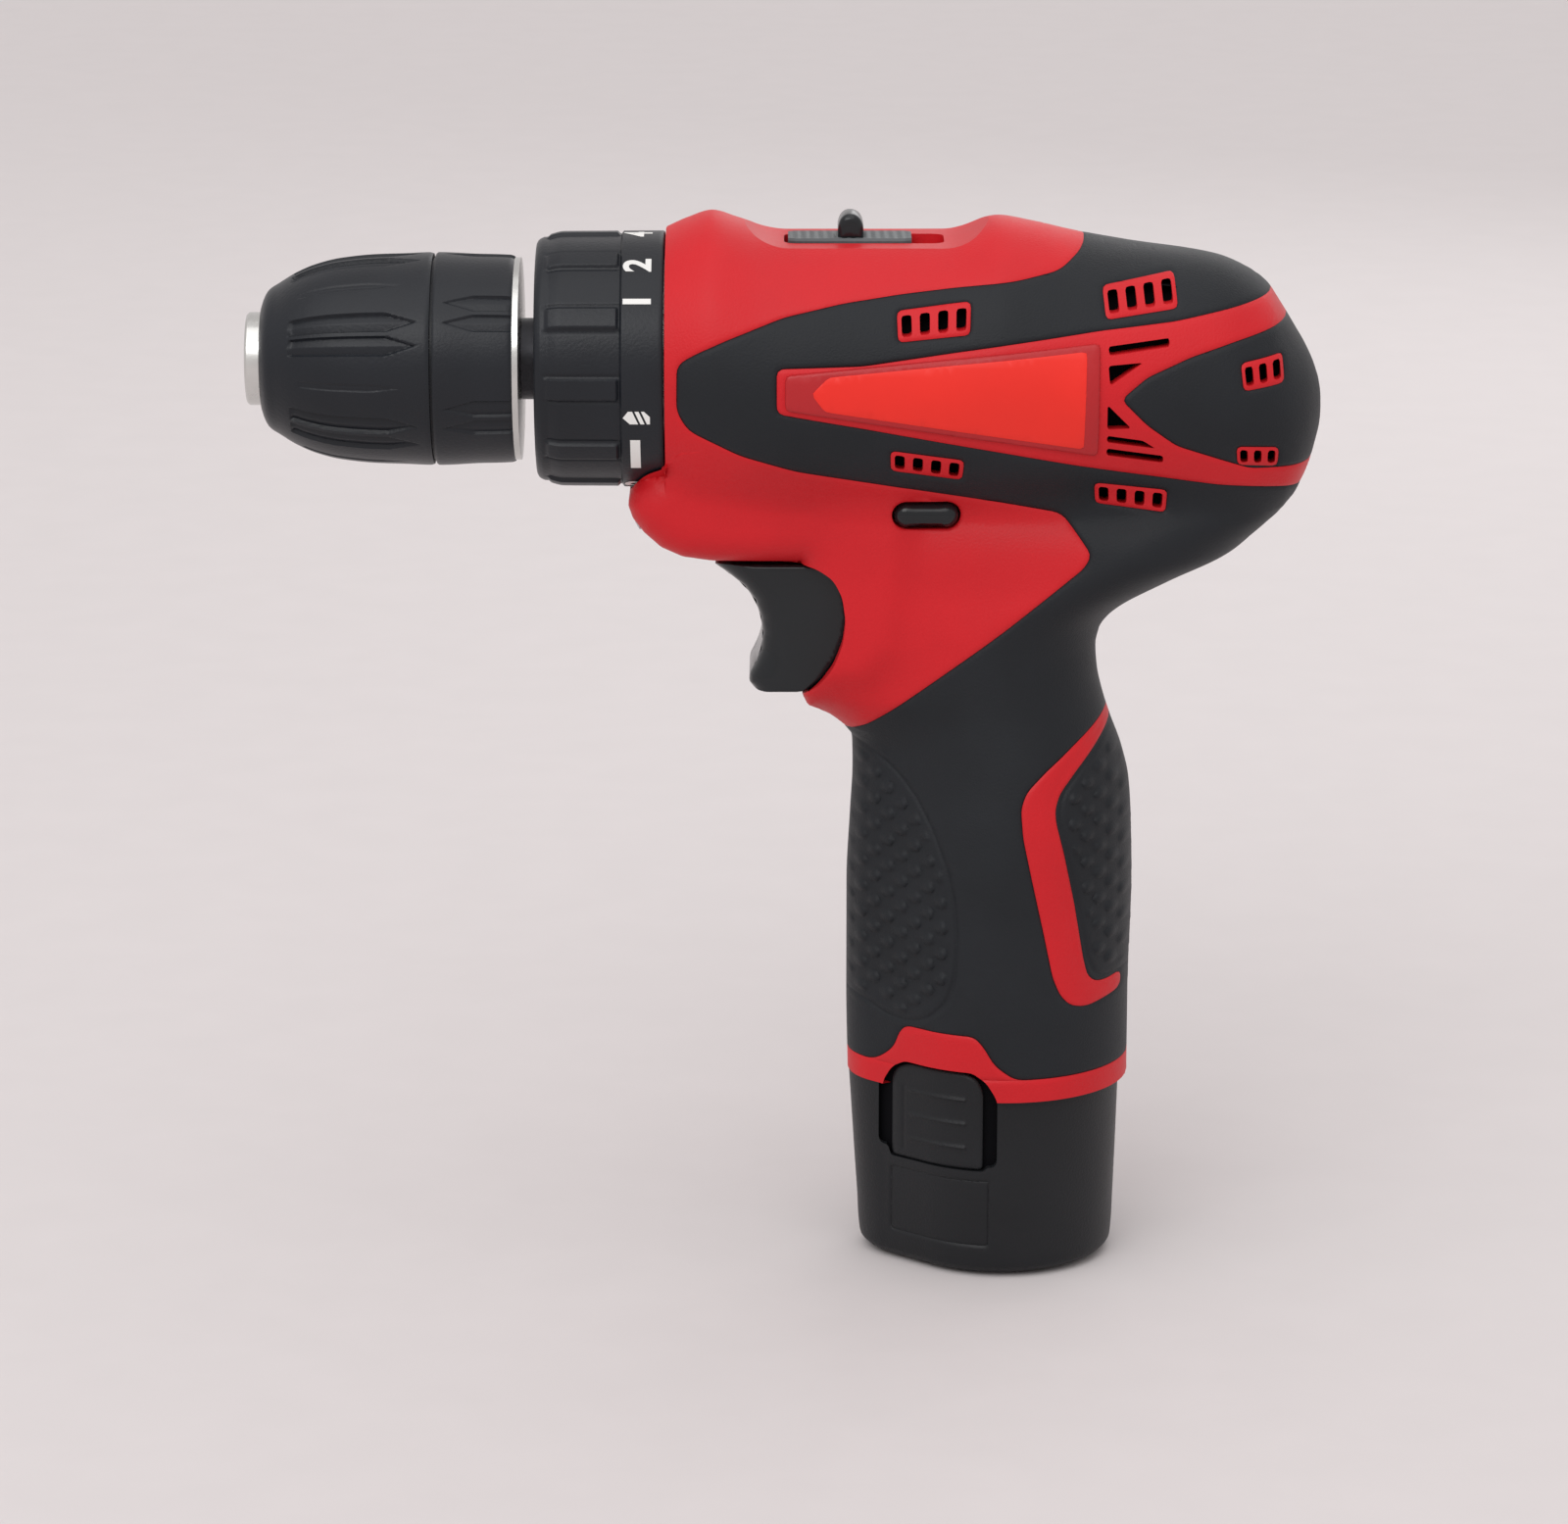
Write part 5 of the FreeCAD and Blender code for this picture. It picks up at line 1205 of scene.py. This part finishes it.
RIB_HEIGHTS = (-127.6, -132.0, -136.4)
RIB_POINTS = np.array([
    (x, rib + step) for rib in RIB_HEIGHTS for step in (-0.6, -0.3, -0.15, 0, 0.15, 0.3, 0.6)
    for x in np.arange(113.9, 125.0, 0.4)
])
UPRIGHT_X, UPRIGHT_MIDDLE, UPRIGHT_HALF = 113.4, -133.0, 6.2
UPRIGHT_POINTS = np.array([
    (UPRIGHT_X + step, z) for step in (-0.6, -0.3, -0.15, 0, 0.15, 0.3, 0.6)
    for z in np.arange(UPRIGHT_MIDDLE - UPRIGHT_HALF, UPRIGHT_MIDDLE + UPRIGHT_HALF, 0.4)
])


def pack_height(points):
    x, z = points.T
    front, rear = PACK_FRONT(z), PACK_REAR(z)
    height = egg_height(x, front, rear, PACK_CORNER(z), PACK_HALF(z))
    return np.where((x >= front) & (x <= rear), height, 0)


def pack_offset(points):
    panel = line_distance(points, PANEL_LINE)
    offset = -0.18 * np.exp(-((panel / 0.25) ** 2)) - 0.22 * inside(points, PANEL_LINE)
    offset -= 0.25 * np.exp(-((line_distance(points, JOINT_LINE, closed=False) / 0.2) ** 2))
    return offset


print("battery is", round(float(2 * PACK_HALF(-150)), 1), "mm thick")

# %% [markdown]
# One function cuts every battery skin: the pack's own side, the latch tab and the painted-shade liner behind
# it.

# %% Battery skin maker


def pack_skin(side, outline, holes, height, name, walls):
    line = np.array(outline)
    low, high = line.min(axis=0), line.max(axis=0)
    loose = np.vstack([
        offset_rings(line, (0.04, 0.15, 0.4, 0.8, 1.4)), offset_rings(PANEL_LINE, (0.12, 0.3, 0.5)),
        offset_rings(JOINT_LINE, (0.12, 0.3)), grid_points(0.95, low[0], high[0], low[1], high[1]),
        RIB_POINTS, UPRIGHT_POINTS,
    ])
    loose = loose[inside(loose, line) & (line_distance(loose, line) > 0.03)]
    flat, faces = flat_triangles(np.vstack([line, *holes, loose]), closed_segments(line, *holes))
    centres = flat[faces].mean(axis=1)
    keep = inside(centres, line)
    for hole in holes:
        keep &= ~inside(centres, hole)
    out = height(flat)
    mesh = bmesh.new()
    top = [mesh.verts.new((x * MM, side * y * MM, z * MM)) for (x, z), y in zip(flat, out)]
    for face in faces[keep]:
        mesh.faces.new([top[k] for k in face])
    bmesh.ops.delete(mesh, geom=[v for v in mesh.verts if not v.link_faces], context="VERTS")

    def wall_end(point):
        x, y, z = point
        on_rim = line_distance(np.array([[x, z]]), line)[0] <= 0.3
        return (x, 0.0 if on_rim and walls >= 3 else y - walls, z)

    add_skirt(mesh, side, wall_end)
    bmesh.ops.recalc_face_normals(mesh, faces=mesh.faces)
    return new_piece(name, mesh, battery_black)


PACK_Z = np.concatenate([[-160, -159.9, -159.6], np.linspace(-159.2, -127.5, 40)])
PACK_LINE = even(np.vstack([
    np.column_stack([PACK_FRONT(PACK_Z), PACK_Z]),
    np.column_stack([PACK_REAR(PACK_Z[::-1]), PACK_Z[::-1]]),
]), 0.6)


def tab_height(points):
    """The latch tab: the pack's own curve, with three thin ribs and an edge radius."""
    edge = np.clip(line_distance(points, TAB_LINE) / 0.8, 0, 1)
    height = pack_height(np.column_stack([points[:, 0], np.minimum(points[:, 1], -127.5)])) - 0.1
    height -= 0.4 * (1 - edge) ** 2
    for rib in RIB_HEIGHTS:
        on_rib = np.clip((5.0 - np.abs(points[:, 0] - 119.3)) / 0.4, 0, 1)
        height += 0.4 * np.exp(-(((points[:, 1] - rib) / 0.3) ** 2)) * on_rib
    on_upright = np.clip((UPRIGHT_HALF - np.abs(points[:, 1] - UPRIGHT_MIDDLE)) / 0.4, 0, 1)
    height -= 0.25 * np.exp(-(((points[:, 0] - UPRIGHT_X) / 0.25) ** 2)) * on_upright
    return height


LATCH_ROOM = [
    (109.1, -120), (109.1, -138.0), (109.7, -138.8), (110.7, -138.8), (111.3, -140.6), (127.3, -140.6),
    (127.9, -139.8), (128.9, -139.8), (129.6, -139.0), (129.6, -120),
]
SHADE_LINER = [(106.2, -143), (106.2, -118), (132.6, -118), (132.6, -143)]
room_line = rounded_outline(LATCH_ROOM, 0.5, 0.35)
shade_liner_line = rounded_outline(SHADE_LINER, 1.0, 0.5)
for side, word in ((-1, "left"), (1, "right")):
    skin = pack_skin(
        side, PACK_LINE, [room_line], lambda p: np.maximum(pack_height(p) + pack_offset(p), 0),
        f"{word}_pack_skin", 3.5,
    )
    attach(skin, "battery")
    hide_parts("battery_case")
    tab = pack_skin(side, TAB_LINE, [], tab_height, f"{word}_latch_tab", 2.0)
    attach(tab, f"{word}_latch")
    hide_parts(f"{word}_latch")
    # The liner is painted shade: a near-black sheet just under the pack's side that darkens the latch room
    # where its shadow would fall.
    shade_liner = pack_skin(side, shade_liner_line, [], lambda p: pack_height(p) - 1.5, f"{word}_pack_shade_liner", 0.4)
    shade_liner.data.materials[0] = painted_shade_black
    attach(shade_liner, "battery")
    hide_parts("battery_case")


print("battery skins built")

# %% [markdown]
# Above the pack a sleeve holds three cells, one in front and two behind. It slides up into the handle.

# %% Battery stick


STICK_CELLS = [
    (115.7, 0.0), (131.7, 9.3), (131.7, -9.3),
]
STICK_RINGS = [
    (-131.0, 9.95), (-88.5, 9.95), (-88.15, 9.8), (-88.0, 9.5),
]


def battery_stick():
    """The sleeve round the three cells that slides up into the handle."""
    mesh = bmesh.new()
    for z, radius in STICK_RINGS:
        for x, y in STICK_CELLS:
            for corner in circle_outline(radius, x, y, points=64):
                mesh.verts.new((corner[0] * MM, corner[1] * MM, z * MM))
    hull = bmesh.ops.convex_hull(mesh, input=mesh.verts)
    spare = list(set(hull["geom_interior"]) | set(hull["geom_unused"]))
    bmesh.ops.delete(mesh, geom=spare, context="VERTS")
    return new_piece("battery_stick_skin", mesh, battery_black)


stick = battery_stick()
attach(stick, "battery")
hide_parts("battery_case")
print("battery stick faces:", len(stick.data.polygons))

# %% [markdown]
# Everything inside keeps its true mechanical shape and only gets its finish. The names of the pieces tell
# what they are made of.

# %% Finishes for the mechanical parts
SLOT_FINISH = {
    "red_shell": red_shell, "black_grip": black_grip, "badge_red": badge_plate, "black_plastic": chuck_black,
    "gloss_black": gloss_black, "grey_plastic": selector_grey, "natural_plastic": nylon, "steel": steel,
    "dark_steel": dark_steel, "copper": copper, "clear_lens": clear_lens, "board_green": board_green,
    "cell_wrap": cell_wrap,
}
for node in frame["record"]["subparts"]:
    name, slot_name = node["node"], node["material_slot"]
    if name in frame["nodes"]:
        body = frame["nodes"][name]
        body.data.materials.clear()
        body.data.materials.append(SLOT_FINISH[slot_name])
        body.data.shade_smooth()
        body.data.set_sharp_from_angle(angle=math.radians(30))
frame["nodes"]["spindle"].data.materials[0] = dark_steel
print("finished nodes:", len(frame["nodes"]))

# %% [markdown]
# Light and floor: a broad even light from above, one wide soft light over the near side, a weaker fill
# opposite, and a pale floor that meets a pale sky. The floor is plain, so the drill's red and black carry
# the picture.

# %% Floor and light
FLOOR_Z = cad_box[0][2]
floor_data = bpy.data.meshes.new("floor")
REACH = 6.0
floor_corners = [(-REACH, -REACH, 0), (REACH, -REACH, 0), (REACH, REACH, 0), (-REACH, REACH, 0)]
floor_data.from_pydata(floor_corners, [], [(0, 1, 2, 3)])
floor = bpy.data.objects.new("floor", floor_data)
floor.location.z = FLOOR_Z - 0.0005
bpy.context.scene.collection.objects.link(floor)
floor_data.materials.append(finish("floor_paint", (0.64, 0.605, 0.605), 0.9, mottle=0.01))
world = bpy.data.worlds.new("studio")
bpy.context.scene.world = world
world.use_nodes = True
world.node_tree.nodes["Background"].inputs["Color"].default_value = (0.80, 0.77, 0.77, 1)
world.node_tree.nodes["Background"].inputs["Strength"].default_value = 0.9


def area_light(name, location, target, size, power):
    data = bpy.data.lights.new(name, "AREA")
    data.shape = "RECTANGLE"
    data.size, data.size_y = size
    data.energy = power
    light = bpy.data.objects.new(name, data)
    light.location = location
    light.rotation_euler = (Vector(target) - Vector(location)).to_track_quat("-Z", "Y").to_euler()
    bpy.context.scene.collection.objects.link(light)


area_light("key_light", (-0.25, -0.9, 0.75), AIM, (0.7, 0.5), 2.6)
area_light("top_light", (0.3, 0.1, 0.9), AIM, (0.9, 0.5), 0.7)
area_light("rear_fill", (0.5, 0.9, 0.4), AIM, (0.8, 0.6), 1.3)
sky_data = bpy.data.lights.new("sky_light", "SUN")
sky_data.angle = math.radians(70)
sky_data.energy = 1.0
sky_light = bpy.data.objects.new("sky_light", sky_data)
sky_light.rotation_euler = (math.radians(32), 0, math.radians(-20))
bpy.context.scene.collection.objects.link(sky_light)
bpy.context.scene.view_settings.view_transform = "Standard"
